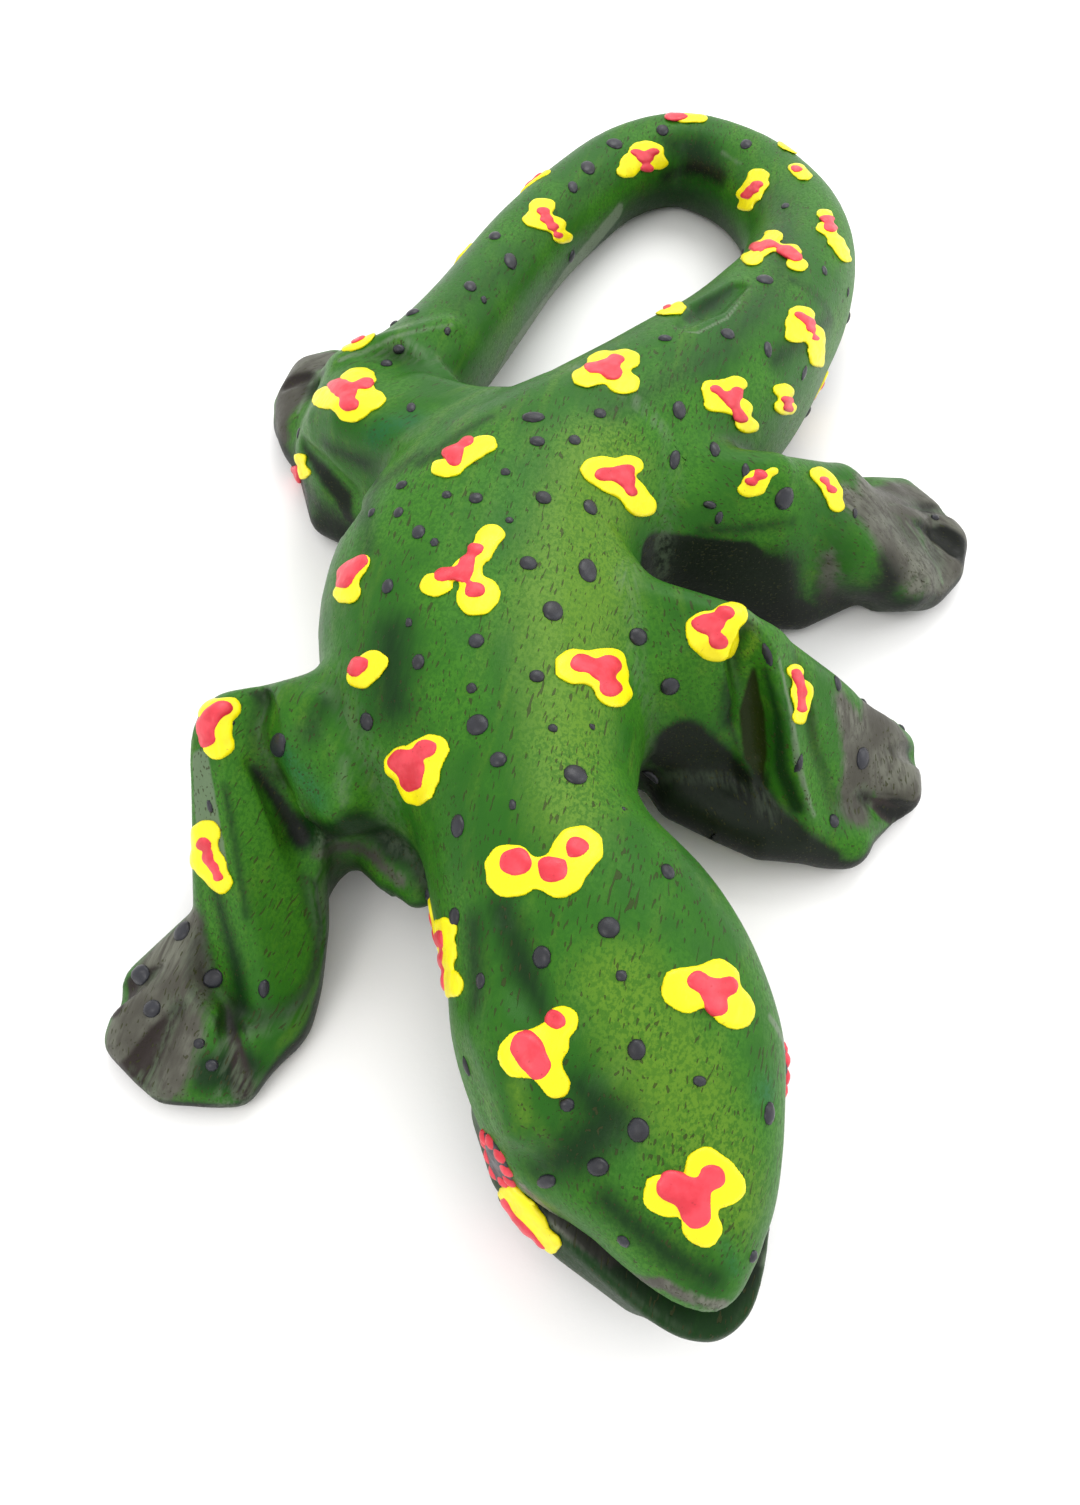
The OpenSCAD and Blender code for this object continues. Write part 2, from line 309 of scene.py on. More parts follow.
low_corner, high_corner = [np.array(corner) / METRE for corner in cad_box]
GRID_START = low_corner - MARGIN
GRID_SHAPE = tuple(int(n) for n in np.ceil((high_corner - low_corner + 2 * MARGIN) / VOXEL) + 1)


def node_mesh(name):
    """A CAD node's points in millimetres and its triangles."""
    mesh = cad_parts[name].data
    mesh.calc_loop_triangles()
    points = np.empty(len(mesh.vertices) * 3, dtype=np.float32)
    mesh.vertices.foreach_get("co", points)
    triangles = np.empty(len(mesh.loop_triangles) * 3, dtype=np.int32)
    mesh.loop_triangles.foreach_get("vertices", triangles)
    return points.reshape(-1, 3) / METRE, triangles.reshape(-1, 3)


def joined(shells):
    """One list of points and faces from several."""
    counts = np.cumsum([0] + [len(points) for points, _ in shells])
    points = np.concatenate([points for points, _ in shells])
    faces = np.concatenate([part + count for (_, part), count in zip(shells, counts)])
    return points, faces


def distance_to(names):
    """Distance to the joined surface of some CAD nodes, negative inside the wood."""
    points, triangles = joined([node_mesh(name) for name in names])
    grid = openvdb.FloatGrid.createLevelSetFromPolygons(
        (points - GRID_START).astype(np.float32), triangles=triangles.astype(np.uint32),
        transform=openvdb.createLinearTransform(VOXEL), halfWidth=BAND / VOXEL)
    field = np.empty(GRID_SHAPE, dtype=np.float32)
    grid.copyToArray(field)
    return field


def smooth_min(a, b, blend):
    overlap = np.maximum(blend - np.abs(a - b), 0)
    return np.minimum(a, b) - overlap * overlap / (4 * blend)


def soften(field, passes):
    for _ in range(passes):
        for axis in range(3):
            field = 0.5 * field + 0.25 * (np.roll(field, 1, axis) + np.roll(field, -1, axis))
    return field


def sample(field, points):
    """Field values at points, read between the grid's own points."""
    spot = (points - GRID_START) / VOXEL
    spot = np.clip(spot, 0, np.array(GRID_SHAPE) - 1.001)
    base = spot.astype(np.int32)
    part = spot - base
    total = np.zeros(len(points))
    for corner in range(8):
        step = np.array([corner >> 2 & 1, corner >> 1 & 1, corner & 1])
        weight = np.prod(np.where(step, part, 1 - part), axis=1)
        at = base + step
        total += weight * field[at[:, 0], at[:, 1], at[:, 2]]
    return total


def slope(field, points, reach=1.0):
    """Unit direction in which the field grows."""
    steps = np.eye(3) * VOXEL * reach
    rise = np.stack([sample(field, points + s) - sample(field, points - s) for s in steps], axis=1)
    return rise / np.maximum(np.linalg.norm(rise, axis=1, keepdims=True), 1e-9)


def chain_gap(rods, x, y, z):
    """Distance to a chain of round rods through [x, y, z, radius] points."""
    nearest = np.inf
    for a, b in zip(rods[:-1], rods[1:]):
        along = b[:3] - a[:3]
        length = max(along @ along, 1e-9)
        t = ((x - a[0]) * along[0] + (y - a[1]) * along[1] + (z - a[2]) * along[2]) / length
        t = np.clip(t, 0, 1)
        gap = np.sqrt((x - a[0] - t * along[0]) ** 2 + (y - a[1] - t * along[1]) ** 2
                      + (z - a[2] - t * along[2]) ** 2) - (a[3] + t * (b[3] - a[3]))
        nearest = np.minimum(nearest, gap)
    return nearest


# ---------------------------------------------------------------- the painter's sheet

# The sheet is a level plane over the figure. A place on it is carried along the line from the eye
# to the wood below, in strides that are a share of the distance to the wood plus a small creep.
SHEET_HEIGHT = 18
STRIDES = 160
STRIDE_SHARE = 0.8
CREEP = 0.01
SETTLING_STEPS = 4


def look_through(field, spots):
    """Where the lines from the eye through places on the sheet first meet the wood."""
    spots = np.array(spots, dtype=float)
    sheet = np.column_stack([spots[:, 0], spots[:, 1], np.full(len(spots), SHEET_HEIGHT)])
    heading = sheet - EYE
    heading /= np.linalg.norm(heading, axis=1, keepdims=True)
    top = high_corner[2] + 1
    places = EYE + heading * ((top - EYE[2]) / heading[:, 2])[:, None]
    closest = places.copy()
    least = np.full(len(places), BAND)
    for _ in range(STRIDES):
        gap = sample(field, places)
        nearer = gap < least
        closest[nearer] = places[nearer]
        least = np.minimum(least, gap)
        stride = np.maximum(gap, 0) * STRIDE_SHARE + CREEP * (gap > 0)
        places = places + heading * stride[:, None]
    return settle(field, closest)


def settle(field, places):
    """Moves points to the nearest wood."""
    for _ in range(SETTLING_STEPS):
        places = places - slope(field, places) * sample(field, places)[:, None]
    return places


def on_wood(field, stroke):
    """Carries x, y, radius places of the sheet onto the wood: points, facings and true radii there."""
    stroke = np.array(stroke, dtype=float)
    points = look_through(field, stroke[:, :2])
    nearness = (EYE[2] - points[:, 2]) / (EYE[2] - SHEET_HEIGHT)
    return points, slope(field, points, 3), stroke[:, 2] * nearness


def frame_at(facing):
    """Two level directions across a surface."""
    across = np.cross(facing, (0, 1, 0))
    if np.linalg.norm(across) < 0.2:
        across = np.cross(facing, (1, 0, 0))
    across /= np.linalg.norm(across)
    return across, np.cross(facing, across)


# ---------------------------------------------------------------- carving tools

RIDGE_CORE_BLEND = 3
RIDGE_PLANE_BLEND = 1.2


class Block:
    """The wood being carved: a distance field that tools add to and cut from."""

    def __init__(self, field):
        self.field = field

    def coordinates(self, cut):
        """The x, y and z of some grid slices."""
        axes = [start + VOXEL * np.arange(side.start, side.stop) for start, side in zip(GRID_START, cut)]
        return np.meshgrid(*axes, indexing="ij", sparse=True)

    def part(self, centre, reach):
        """The grid slices within `reach` of a place, and the coordinates there."""
        low = np.clip((np.array(centre) - reach - GRID_START) / VOXEL, 0, GRID_SHAPE).astype(int)
        high = np.clip((np.array(centre) + reach - GRID_START) / VOXEL + 1, 0, GRID_SHAPE).astype(int)
        cut = tuple(slice(a, b) for a, b in zip(low, high))
        return cut, self.coordinates(cut)

    def rope(self, points, blend):
        """The slices round a chain of rods, and the distance to it there."""
        rods = np.array(points, dtype=float)
        middle = (rods[:, :3].min(axis=0) + rods[:, :3].max(axis=0)) / 2
        half_size = (rods[:, :3].max(axis=0) - rods[:, :3].min(axis=0)) / 2
        reach = half_size + rods[:, 3].max() + 1.5 * blend
        cut, places = self.part(middle, reach)
        return cut, chain_gap(rods, *places)

    def add_rope(self, points, blend):
        cut, gap = self.rope(points, blend)
        self.field[cut] = smooth_min(self.field[cut], gap, blend)

    def cut_rope(self, points, blend):
        cut, gap = self.rope(points, blend)
        self.field[cut] = -smooth_min(-self.field[cut], gap, blend)

    def groove(self, stroke, bite, blend):
        """Cuts along a stroke on the painter's sheet; `bite` is the depth as a share of the radius."""
        points, facings, radii = on_wood(self.field, stroke)
        centres = points + facings * (radii * (1 - bite))[:, None]
        self.cut_rope(np.column_stack([centres, radii]), blend)

    def bead(self, stroke, proud, blend):
        """Raises a ridge along a stroke on the painter's sheet; `proud` is height over radius."""
        points, facings, radii = on_wood(self.field, stroke)
        centres = points - facings * (radii * (1 - proud))[:, None]
        self.add_rope(np.column_stack([centres, radii]), blend)

    def sand(self, centre, reach, passes):
        """Rounds off everything within `reach` of a place, less towards the edge."""
        cut, (x, y, z) = self.part(centre, np.full(3, reach))
        far = np.sqrt((x - centre[0]) ** 2 + (y - centre[1]) ** 2 + (z - centre[2]) ** 2)
        amount = np.clip((reach - far) / (0.4 * reach), 0, 1)
        rough = self.field[cut]
        self.field[cut] = rough + amount * (soften(rough, passes) - rough)

    def chop(self, place, facing, region, blend):
        """Shaves flat what stands in front of a plane, within a chain of round rods."""
        facing = np.array(facing, dtype=float)
        facing /= np.linalg.norm(facing)
        cut, gap = self.rope(region, blend)
        x, y, z = self.coordinates(cut)
        behind = (x - place[0]) * facing[0] + (y - place[1]) * facing[1] + (z - place[2]) * facing[2]
        waste = -smooth_min(behind, -gap, blend)
        self.field[cut] = -smooth_min(-self.field[cut], waste, blend / 2)

    def ridge(self, points, facings, thickness, reach):
        """A crisp ridge along a line of [x, y, z] points, with one flat plane on each side."""
        line = np.array(points, dtype=float)
        along = line[-1] - line[0]
        along /= np.linalg.norm(along)
        flats = [np.array(facing) - (np.array(facing) @ along) * along for facing in facings]
        flats = [flat / np.linalg.norm(flat) for flat in flats]
        inward = -(flats[0] + flats[1]) / np.linalg.norm(flats[0] + flats[1])
        core = [(*(spot + inward * thickness), thickness) for spot in line]
        self.add_rope(core, RIDGE_CORE_BLEND)
        for flat in flats:
            self.chop(line[0], flat, [(*spot, reach) for spot in line], RIDGE_PLANE_BLEND)


# ---------------------------------------------------------------- carving the figure

# The mouth line's height at the snout's tip and its rise per millimetre behind that; how far the
# upper lip is set back and the lower one stands out; half the gap between them, and its depth
LIP_HEIGHT = 12.4
LIP_RISE = 0.02
SNOUT_BACK = 1.4
JAW_PROUD = 0.3
MOUTH_GAP = 0.45
MOUTH_DEPTH = 7


def lip_at(y):
    """The mouth line's height at a distance along the head."""
    return LIP_HEIGHT + LIP_RISE * (y - low_corner[1])


def carve_mouth(wood):
    """A slit between the lips round the snout, whose upper lip is set back on the right and in front."""
    cut, (x, y, z) = wood.part((8, -98, 12), (24, 16, 14))
    head = wood.field[cut]
    over = z - lip_at(y)
    side = np.clip((18 - x) / 4, 0, 1) * np.clip((-95 - y) / 5, 0, 1)
    upper = np.clip(over / 1.5, 0, 1) * np.clip((9 - over) / 8, 0, 1)
    lower = np.clip(-over / 1.5, 0, 1)
    head = head + side * (SNOUT_BACK * upper - JAW_PROUD * lower)
    fade = np.clip((-92.5 - y) / 3, 0, 1)
    slit = np.maximum(np.abs(over) - MOUTH_GAP * fade, -(head + MOUTH_DEPTH))
    wood.field[cut] = -smooth_min(-head, slit, 0.8)


def carve_head(wood):
    # cheek and jaw wider on the right
    wood.add_rope([(-9.5, -85, 8, 4.5), (-7.6, -90.5, 8, 4.5), (-5.3, -93.3, 7.5, 4.5),
                   (-1.8, -96.2, 7, 4.5), (4.5, -101, 6, 4)], 3)
    # brow over the right eye, the valley in front of it and the dip behind it
    wood.bead([(-11, -80, 4), (-9, -85.5, 3.5), (-8.5, -90, 2.6)], 0.25, 3)
    wood.groove([(-1.5, -85, 3), (0, -89, 4.5), (-3.5, -92.5, 4), (-7, -93.8, 2)], 0.16, 4)
    wood.groove([(-9.5, -68, 2), (-8.2, -72.5, 3), (-6, -77.5, 2)], 0.35, 3)


def carve_right_foreleg(wood):
    # crisp ridge from elbow to foot between the pale outer strip and the green inner plane
    wood.add_rope([(-42, -46.5, 20, 3.8), (-40, -54, 13, 4.8), (-38, -62.5, 8, 4.6), (-38, -70, 3, 3.6)], 7)
    wood.sand((-38.5, -58, 12), 13, 10)
    wood.ridge([(-43.8, -47, 25.5), (-42.6, -55, 20.2), (-39.8, -67, 11.5)],
               [(-0.55, -0.2, 0.8), (0.62, -0.45, 0.64)], 2.5, 8.5)
    # upper arm: rounded bulge, divided from the forearm by a deep groove
    wood.add_rope([(-34, -43.5, 22.5, 5), (-29.5, -50, 19, 4.5)], 3)
    wood.bead([(-34.5, -36, 1.2), (-31.5, -42.5, 1.5), (-30, -48, 1.8), (-31, -52, 1.2)], 0.3, 2.5)
    wood.groove([(-41.8, -45.3, 0.5), (-38.7, -49.3, 1.4), (-35.3, -54.3, 2.2), (-33, -58.6, 2.6)], 0.75, 1)
    # dips between the toes
    wood.sand((-46, -74, 6), 15, 4)
    wood.groove([(-48.2, -71.9, 0.5), (-50.5, -74, 1.4), (-52.4, -76, 1.8)], 0.5, 0.6)
    wood.groove([(-45.2, -76.5, 0.6), (-46.8, -79.8, 2.2), (-48, -83, 3.0)], 0.38, 0.6)
    wood.groove([(-40.3, -76.5, 0.6), (-38.8, -80.5, 1.5), (-37.6, -84, 1.8)], 0.4, 0.6)
    # rounded chest wall between this leg and the neck
    wood.add_rope([(-34.5, -52, 6, 3), (-31, -49.5, 8, 4), (-27, -50.2, 8, 4), (-24, -53.5, 8, 4),
                   (-21.5, -57, 8, 2.5)], 4)


def carve_left_foreleg(wood):
    # top face sloping to the foot, ridged against the front wall, with a scooped oval in that wall
    wood.ridge([(21.8, -36.3, 27), (24.5, -45.5, 17), (27.5, -48.6, 11)],
               [(0.68, -0.2, 0.62), (-0.45, -0.85, 0.25)], 2.5, 6)
    wood.groove([(20.9, -30.5, 0.8), (20.1, -37.5, 2.4), (19.9, -44, 2.2), (20.2, -48.5, 0.6)], 0.45, 0.7)
    # outer edge of the foot, and the dips between its toes
    wood.add_rope([(32.5, -29, 8, 2.6), (37.5, -33, 6, 3), (40, -36, 5, 3), (41.3, -41, 4.5, 2.6)], 3)
    wood.sand((36, -41, 7), 13, 4)
    wood.groove([(31.8, -50, 0.6), (34.2, -51.4, 1.8), (36.4, -52.6, 2.3)], 0.42, 0.6)
    wood.groove([(36, -43.2, 0.5), (38, -43.6, 1.4), (39.8, -44.2, 1.8)], 0.45, 0.6)
    wood.groove([(34.2, -34.2, 0.5), (36.3, -36.4, 1.1), (38, -36.3, 1.3)], 0.4, 0.6)
    # front wall carried down to the table
    wood.add_rope([(12, -43, 7, 3.5), (17, -46, 7, 3.5), (22, -48, 6, 3.5), (28.5, -48.5, 5, 3),
                   (33, -48.5, 4, 3)], 4)


def carve_right_hind_leg(wood):
    # dark valley below the knee, and the light ridge that the tail's tip ends on
    wood.groove([(-41.2, 10.7, 0.8), (-37.8, 5.7, 2.4), (-34.2, 0.9, 2.6), (-33, -4, 2)], 0.5, 2)
    wood.bead([(-42.8, 18, 1.2), (-41.3, 26, 1.2), (-37.5, 30, 1.2), (-29, 35.8, 1.1),
               (-20.5, 38.6, 0.8)], 0.3, 2.5)
    # foot behind the leg, and its toes
    wood.add_rope([(-45.5, 28, 6, 3.6), (-46.3, 34, 6, 3.6), (-44.6, 40.5, 6, 3.6), (-41, 42.3, 6, 3.4)], 3)
    wood.add_rope([(-46, 31, 3.5, 3), (-45, 26.3, 3, 3), (-41.6, 20.8, 3, 3), (-38.8, 11.5, 3, 3),
                   (-35.8, 8.9, 3, 2.6)], 3)
    wood.sand((-48, 37, 6), 14, 4)
    wood.groove([(-39.8, 27.2, 0.6), (-42.2, 26.1, 1.2), (-45.2, 24.4, 1.6)], 0.5, 0.8)


def carve_left_hind_leg(wood):
    # lower leg running smoothly into the foot
    wood.add_rope([(38, 2, 13.5, 4), (47, 2, 8, 4)], 5)
    wood.add_rope([(38, -5, 13, 4), (47, -6, 7, 4)], 5)
    # broad toes
    wood.add_rope([(43, 12.5, 5.5, 3.3), (49.5, 13.2, 4.6, 3.4), (52.3, 10, 4.5, 3), (55.2, 4.5, 4.5, 3),
                   (54.2, -1, 4.2, 3), (51, -4.5, 4, 3)], 3)
    wood.sand((42, -2, 12), 12, 10)
    wood.sand((50, 1, 6), 14, 4)
    wood.groove([(45.8, -5, 0.6), (48.8, -7.3, 2.4), (50.6, -8.8, 2.8)], 0.45, 0.6)
    wood.groove([(45, -1.2, 0.3), (48, -1.9, 0.9), (51, -2.4, 1.4)], 0.6, 0.6)


def carve_tail(wood):
    # lens-shaped facet on the tail's inner shoulder
    wood.groove([(16.2, 38.6, 1.4), (20.5, 43.3, 3.6), (25.8, 48.6, 2.0)], 0.6, 0.35)
    # crease where the returning tail sinks into the hind leg
    wood.cut_rope([(-14, 22, 24, 1.5), (-17.5, 26.5, 27.5, 1.5)], 2)


# Blend where a leg meets the trunk, and passes of softening over the whole figure
FILLET = 4.5
SANDING = 3


def carve_wood():
    """The whole figure's field, and the field of each piece of wood."""
    parts = {name: distance_to([name]) for name in WOOD_NODES}
    whole = distance_to(["body", "tail", "tail_peg"])
    for name in LIMB_NODES:
        whole = smooth_min(whole, parts[name], FILLET)
    wood = Block(soften(whole, SANDING))
    carve_head(wood)
    carve_right_foreleg(wood)
    carve_left_foreleg(wood)
    carve_right_hind_leg(wood)
    carve_left_hind_leg(wood)
    carve_tail(wood)
    carve_mouth(wood)
    above_table = GRID_START[2] + VOXEL * np.arange(GRID_SHAPE[2])
    skin = np.maximum(wood.field, -above_table).astype(np.float32)
    return skin, parts


def split_field(name, parts):
    """Distance to where one piece of wood meets its neighbours, negative on its own side."""
    others = np.minimum.reduce([parts[other] for other in WOOD_NODES if other != name])
    return (parts[name] - others) / 2


# ---------------------------------------------------------------- meshes

def make_object(name, points, faces, material, slot):
    mesh = bpy.data.meshes.new(name)
    mesh.from_pydata((np.asarray(points) * METRE).tolist(), [], np.asarray(faces).tolist())
    mesh.polygons.foreach_set("use_smooth", [True] * len(mesh.polygons))
    mesh.materials.append(material)
    piece = bpy.data.objects.new(name, mesh)
    bpy.context.collection.objects.link(piece)
    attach(piece, "root")
    return piece


def field_mesh(field, start, voxel):
    """Points and quads of the surface where a field is zero; `start` is the grid's lowest corner."""
    grid = openvdb.FloatGrid(BAND)
    grid.transform = openvdb.createLinearTransform(voxel)
    grid.copyFromArray(field.astype(np.float32))
    points, quads = grid.convertToQuads(0)
    return points + start, quads


def meet_at_seam(skin, split, points):
    """Slides a piece's corner points onto the line where its joint comes out of the skin."""
    near = (np.abs(sample(skin, points)) < VOXEL) & (np.abs(sample(split, points)) < VOXEL)
    moved = points[near]
    for _ in range(5):
        gaps = np.column_stack([sample(skin, moved), sample(split, moved)])
        out = slope(skin, moved)
        across = slope(split, moved)
        lean = np.sum(out * across, axis=1)
        scale = 1 / np.maximum(1 - lean * lean, 0.1)
        step_out = (gaps[:, 0] - lean * gaps[:, 1]) * scale
        step_across = (gaps[:, 1] - lean * gaps[:, 0]) * scale
        step = out * step_out[:, None] + across * step_across[:, None]
        moved = moved - np.clip(step, -VOXEL / 2, VOXEL / 2)
    points = points.copy()
    points[near] = moved
    return points


def carved_piece(name, skin, split, material):
    share = np.maximum(skin, split)
    points, quads = field_mesh(share, GRID_START, VOXEL)
    points = meet_at_seam(skin, split, points)
    piece = make_object(name + "_carving", points, quads, material, "painted_wood")
    for mask, values in paint_masks(skin, points).items():
        attribute = piece.data.attributes.new(mask, "FLOAT", "POINT")
        attribute.data.foreach_set("value", values.astype(np.float32))
    on_skin = np.abs(sample(skin, points)) < VOXEL / 2
    normals = np.where(on_skin[:, None], slope(skin, points), slope(share, points))
    piece.data.normals_split_custom_set_from_vertices(normals.tolist())
    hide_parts(name)
    return piece


# ---------------------------------------------------------------- where the airbrush went, and painted light and shade

# Colour, softness of the edge, then x, y, radius along a stroke on the painter's sheet
STROKES = [
    # head
    ("lime", 7, [(2, -74, 5), (8, -85, 6), (13, -97, 4)]),
    # painted highlight on the brow bulge
    ("lime", 3, [(-9, -85.5, 1), (-8, -89, 0.8)]),
    # painted shade in the dip behind the brow
    ("dark", 4, [(-11, -65, 1.5), (-8.2, -72.5, 2), (-6, -77.5, 0.8)]),
    # painted shade in the valley in front of the brow
    ("dark", 5, [(-2.5, -85.5, 1.6), (0.6, -89, 2.6), (-3, -92.3, 2.6), (-7, -94, 0.8)]),
    ("dark", 4, [(0, -97, 1.4), (6, -102, 1.6), (10, -104.3, 1.2)]),
    ("dark", 5, [(-14, -67, 1.5), (-13.5, -76, 1.5)]),
    ("grey", 1.6, [(-8.1, -95.7, 0.7), (-4.2, -98.9, 1.1), (0.2, -102, 1), (5.2, -104.7, 0.9),
                   (10.7, -106.6, 0.7)]),
    # painted highlight along the head's left edge
    ("pale", 1.2, [(18.2, -78, 0.5), (19.5, -82, 0.7), (19.2, -87.5, 0.7), (17.7, -96.3, 0.7),
                   (16.4, -103, 0.5)]),
    # painted bluish reflections on the head's left side and snout
    ("teal", 4, [(17, -86, 2)]),
    ("teal", 3, [(11.5, -101, 0.5), (12.2, -103.5, 0.5)]),
    ("dark", 3, [(8, -103, 1), (13.5, -104.5, 0.6)]),
    # back
    ("lime", 9, [(-3, -52, 5), (-2, -20, 9), (3, 8, 8)]),
    ("dark", 8, [(-25, -36, 3), (-26, -25, 3)]),
    ("dark", 5, [(12, -47, 1), (8, -42, 1)]),
    ("dark", 6, [(-30, -10, 0.5), (-31, 0, 1), (-24, 9, 1)]),
    # right foreleg
    ("pale", 0.9, [(-47.9, -45, 1.5), (-46.2, -52, 2), (-44.1, -59.5, 2.2)]),
    ("dark", 3, [(-43.5, -62.5, 0.6), (-41.6, -67.5, 1), (-40.2, -71.2, 1.2), (-38.6, -77, 1.2)]),
    ("dark", 2, [(-44.5, -48.5, 0.4), (-42, -57, 0.5), (-39.6, -65.7, 0.4)]),
    # painted shade on the underside below the upper arm
    ("dark", 3, [(-34, -55, 2.4), (-28.5, -54, 2.8), (-23.5, -56.8, 2.2)]),
    # painted shade in the deep groove between upper arm and forearm
    ("soot", 2.2, [(-41.3, -46, 0.4), (-38, -50.3, 0.9), (-34.6, -55.5, 1.2)]),
    ("teal", 4, [(-38, -43.5, 1.4), (-33, -50.5, 1.6)]),
    # painted highlight on the upper arm's rounded edge
    ("pale", 6, [(-30.3, -45, 0), (-30, -50.5, 0)]),
    ("dark", 5, [(-33.5, -36, 1), (-35, -40.5, 1)]),
    ("grey", 3, [(-32.5, -58, 0.4), (-29.5, -56.8, 0.8), (-26, -58, 0.8), (-22.5, -61.5, 0.6)]),
    ("grey", 3.5, [(-45.8, -67, 2.2), (-47.5, -72, 4.6), (-46.5, -79, 5), (-46, -83.5, 3.5)]),
    ("grey", 3, [(-50.5, -77, 2.5), (-50.5, -83, 2.5)]),
    ("dark", 3, [(-41, -84, 2.2), (-37.5, -83.5, 2)]),
    ("brown", 1.2, [(-48.2, -71.9, 0.2), (-50.7, -74.2, 1), (-52.8, -76.2, 1.2)]),
    ("brown", 1.2, [(-45.3, -76.5, 0.2), (-47, -80, 1.3), (-48.8, -85, 2.4)]),
    ("brown", 1.6, [(-40.3, -76.5, 0.2), (-38.8, -80.8, 0.8), (-37.2, -86, 1.2)]),
    # left foreleg
    ("soot", 2.5, [(11, -42, 3.5), (15.5, -47.5, 3.2), (21, -54.5, 2.6), (27, -58.6, 1.6)]),
    ("soot", 4, [(8.5, -44, 2.5), (13, -51, 3.5), (20, -58, 3.5), (28, -61, 2.5), (33, -60, 1.5)]),
    ("soot", 3, [(7.2, -47.5, 2), (8.5, -51, 2.5), (13, -54.5, 2.5)]),
    ("olive", 1, [(20.9, -30.8, 0.3), (20.1, -37.5, 1.7), (19.9, -44, 1.5), (20.2, -48, 0.2)]),
    ("dark", 1.6, [(22.4, -31, 0.5), (23.2, -38, 0.7), (22.8, -46, 1), (24, -51.5, 1)]),
    ("dark", 3, [(17, -33, 0.6), (16.8, -39, 1)]),
    # painted sheen along the left foreleg's ridge
    ("pale", 1.2, [(24.4, -29, 0.2), (25, -37.6, 0.4), (24.9, -45.4, 0.4), (26, -52.5, 0.3)]),
    ("lime", 1.2, [(21.2, -23.5, 0.6), (21.7, -26, 0.8), (20, -28.5, 0.6)]),
    ("grey", 4, [(31.5, -36, 1.6), (33, -44, 3.6), (31, -52, 2.2)]),
    ("grey", 3, [(36, -40, 4.5), (37.5, -46, 5)]),
    ("brown", 1.2, [(31.9, -50, 0.2), (34.5, -51.7, 1.4), (37.8, -53.8, 2.6)]),
    ("soot", 2, [(33.5, -51.3, 0.1), (35.5, -52.5, 1), (38, -54, 1.6)]),
    ("dark", 1.6, [(36.3, -43.2, 0.3), (38.4, -43.6, 1.1), (40.8, -44.4, 1.4)]),
    # right hind leg and the tail's tip
    # painted shade in the valley below the knee
    ("soot", 3, [(-41, 10.2, 0.3), (-37.8, 5.2, 1.4), (-34.5, 0.3, 1.6), (-33.3, -4, 1.2)]),
    ("dark", 4, [(-38, 11, 1), (-32, 7, 1.6), (-30, 3, 1)]),
    ("teal", 5, [(-31, 12.5, 2), (-26, 16, 2)]),
    # painted highlight along the ridge that the tail's tip ends on
    ("pale", 1.6, [(-42.8, 18, 0.3), (-41.3, 26, 0.4), (-37.5, 30, 0.4), (-29, 35.8, 0.3),
                   (-20.5, 38.6, 0.2)]),
    ("dark", 3, [(-21, 9, 0.5), (-24, 7, 1), (-14, 17, 0.6)]),
    ("grey", 4, [(-39.5, 30, 2.5), (-43, 29, 3.5), (-45, 21, 3.5), (-44.8, 13, 2)]),
    ("brown", 2, [(-39.8, 27.2, 0.2), (-42.2, 26.1, 0.8), (-45.2, 24.4, 1.3)]),
    # left hind leg
    # black paint, with painted shade in the recess under the left hind leg
    ("soot", 1.6, [(9, -10.5, 3), (15, -11.5, 3.4), (20, -13, 4.3)]),
    ("soot", 6, [(20, -13.5, 3.8), (25.5, -14.5, 3.6), (26, -19, 3)]),
    ("soot", 3, [(11, -14, 4), (18, -19, 6), (26, -24, 5)]),
    ("dark", 3, [(16, -6.5, 0.6), (23, -5.8, 0.8), (29, -4.5, 0.4)]),
    ("grey", 5, [(33, -12, 1.2), (32, -19, 1)]),
    ("grey", 5, [(37.5, 0, 2), (42, -5.5, 4.5), (43.5, -12, 3.5)]),
    ("grey", 4, [(45, -5, 2), (46, -12, 2), (44, -17, 1.5)]),
    ("grey", 5, [(41, 1, 3.5), (47, -1, 5), (50, -7, 5), (47.5, -15, 4)]),
    ("soot", 6, [(40.5, -12, 1), (40.6, -15.5, 2), (38, -19, 2)]),
    ("pale", 1, [(44.7, -4.4, 0.1), (46.6, -9.9, 0.3), (47.8, -16, 0.3)]),
    ("pale", 1, [(42.8, -1.3, 0.1), (46.7, -2.1, 0.3), (50, -2.7, 0.2)]),
    ("soot", 1.6, [(46.2, -5, 0.3), (49.3, -7.7, 1.8), (51.4, -10.3, 2.4)]),
    # tail
    # painted shade inside the scooped facet
    ("dark", 3, [(17, 39.8, 0.6), (21, 43.8, 1.6), (25, 48, 0.6)]),
    # painted highlight on the facet's lower edge
    ("pale", 0.8, [(15.6, 37, 0.1), (18.5, 36.6, 0.3), (23.4, 40.2, 0.3), (26, 44.6, 0.2)]),
    # painted light on the tail loop's inner wall
    ("pale", 2, [(-13.8, 25, 1.8), (-11.5, 30.5, 3), (-5.2, 44, 3), (1.3, 57.7, 2.5), (7, 69, 1.6)]),
    # painted sheen at the tail's far bend
    ("pale", 3, [(26.5, 87.5, 0), (29.5, 84, 0)]),
    ("dark", 12, [(4, 18, 0), (12, 24, 0.4), (22, 32, 0.6), (33, 50, 0.6), (36, 72, 0.4), (22, 92, 0),
                  (3, 78, 0), (-20, 43, 0)]),
    ("soot", 5, [(16, 80, 1), (21, 83, 1.6), (25.5, 79.5, 1)]),
    ("dark", 6, [(17, 91, 1.5), (22, 88, 3), (26, 80, 1.5)]),
    ("dark", 5, [(35, 50, 1), (40, 40, 1), (30, 30, 1.5)])
]
COLOURS = sorted({colour for colour, _, _ in STROKES})

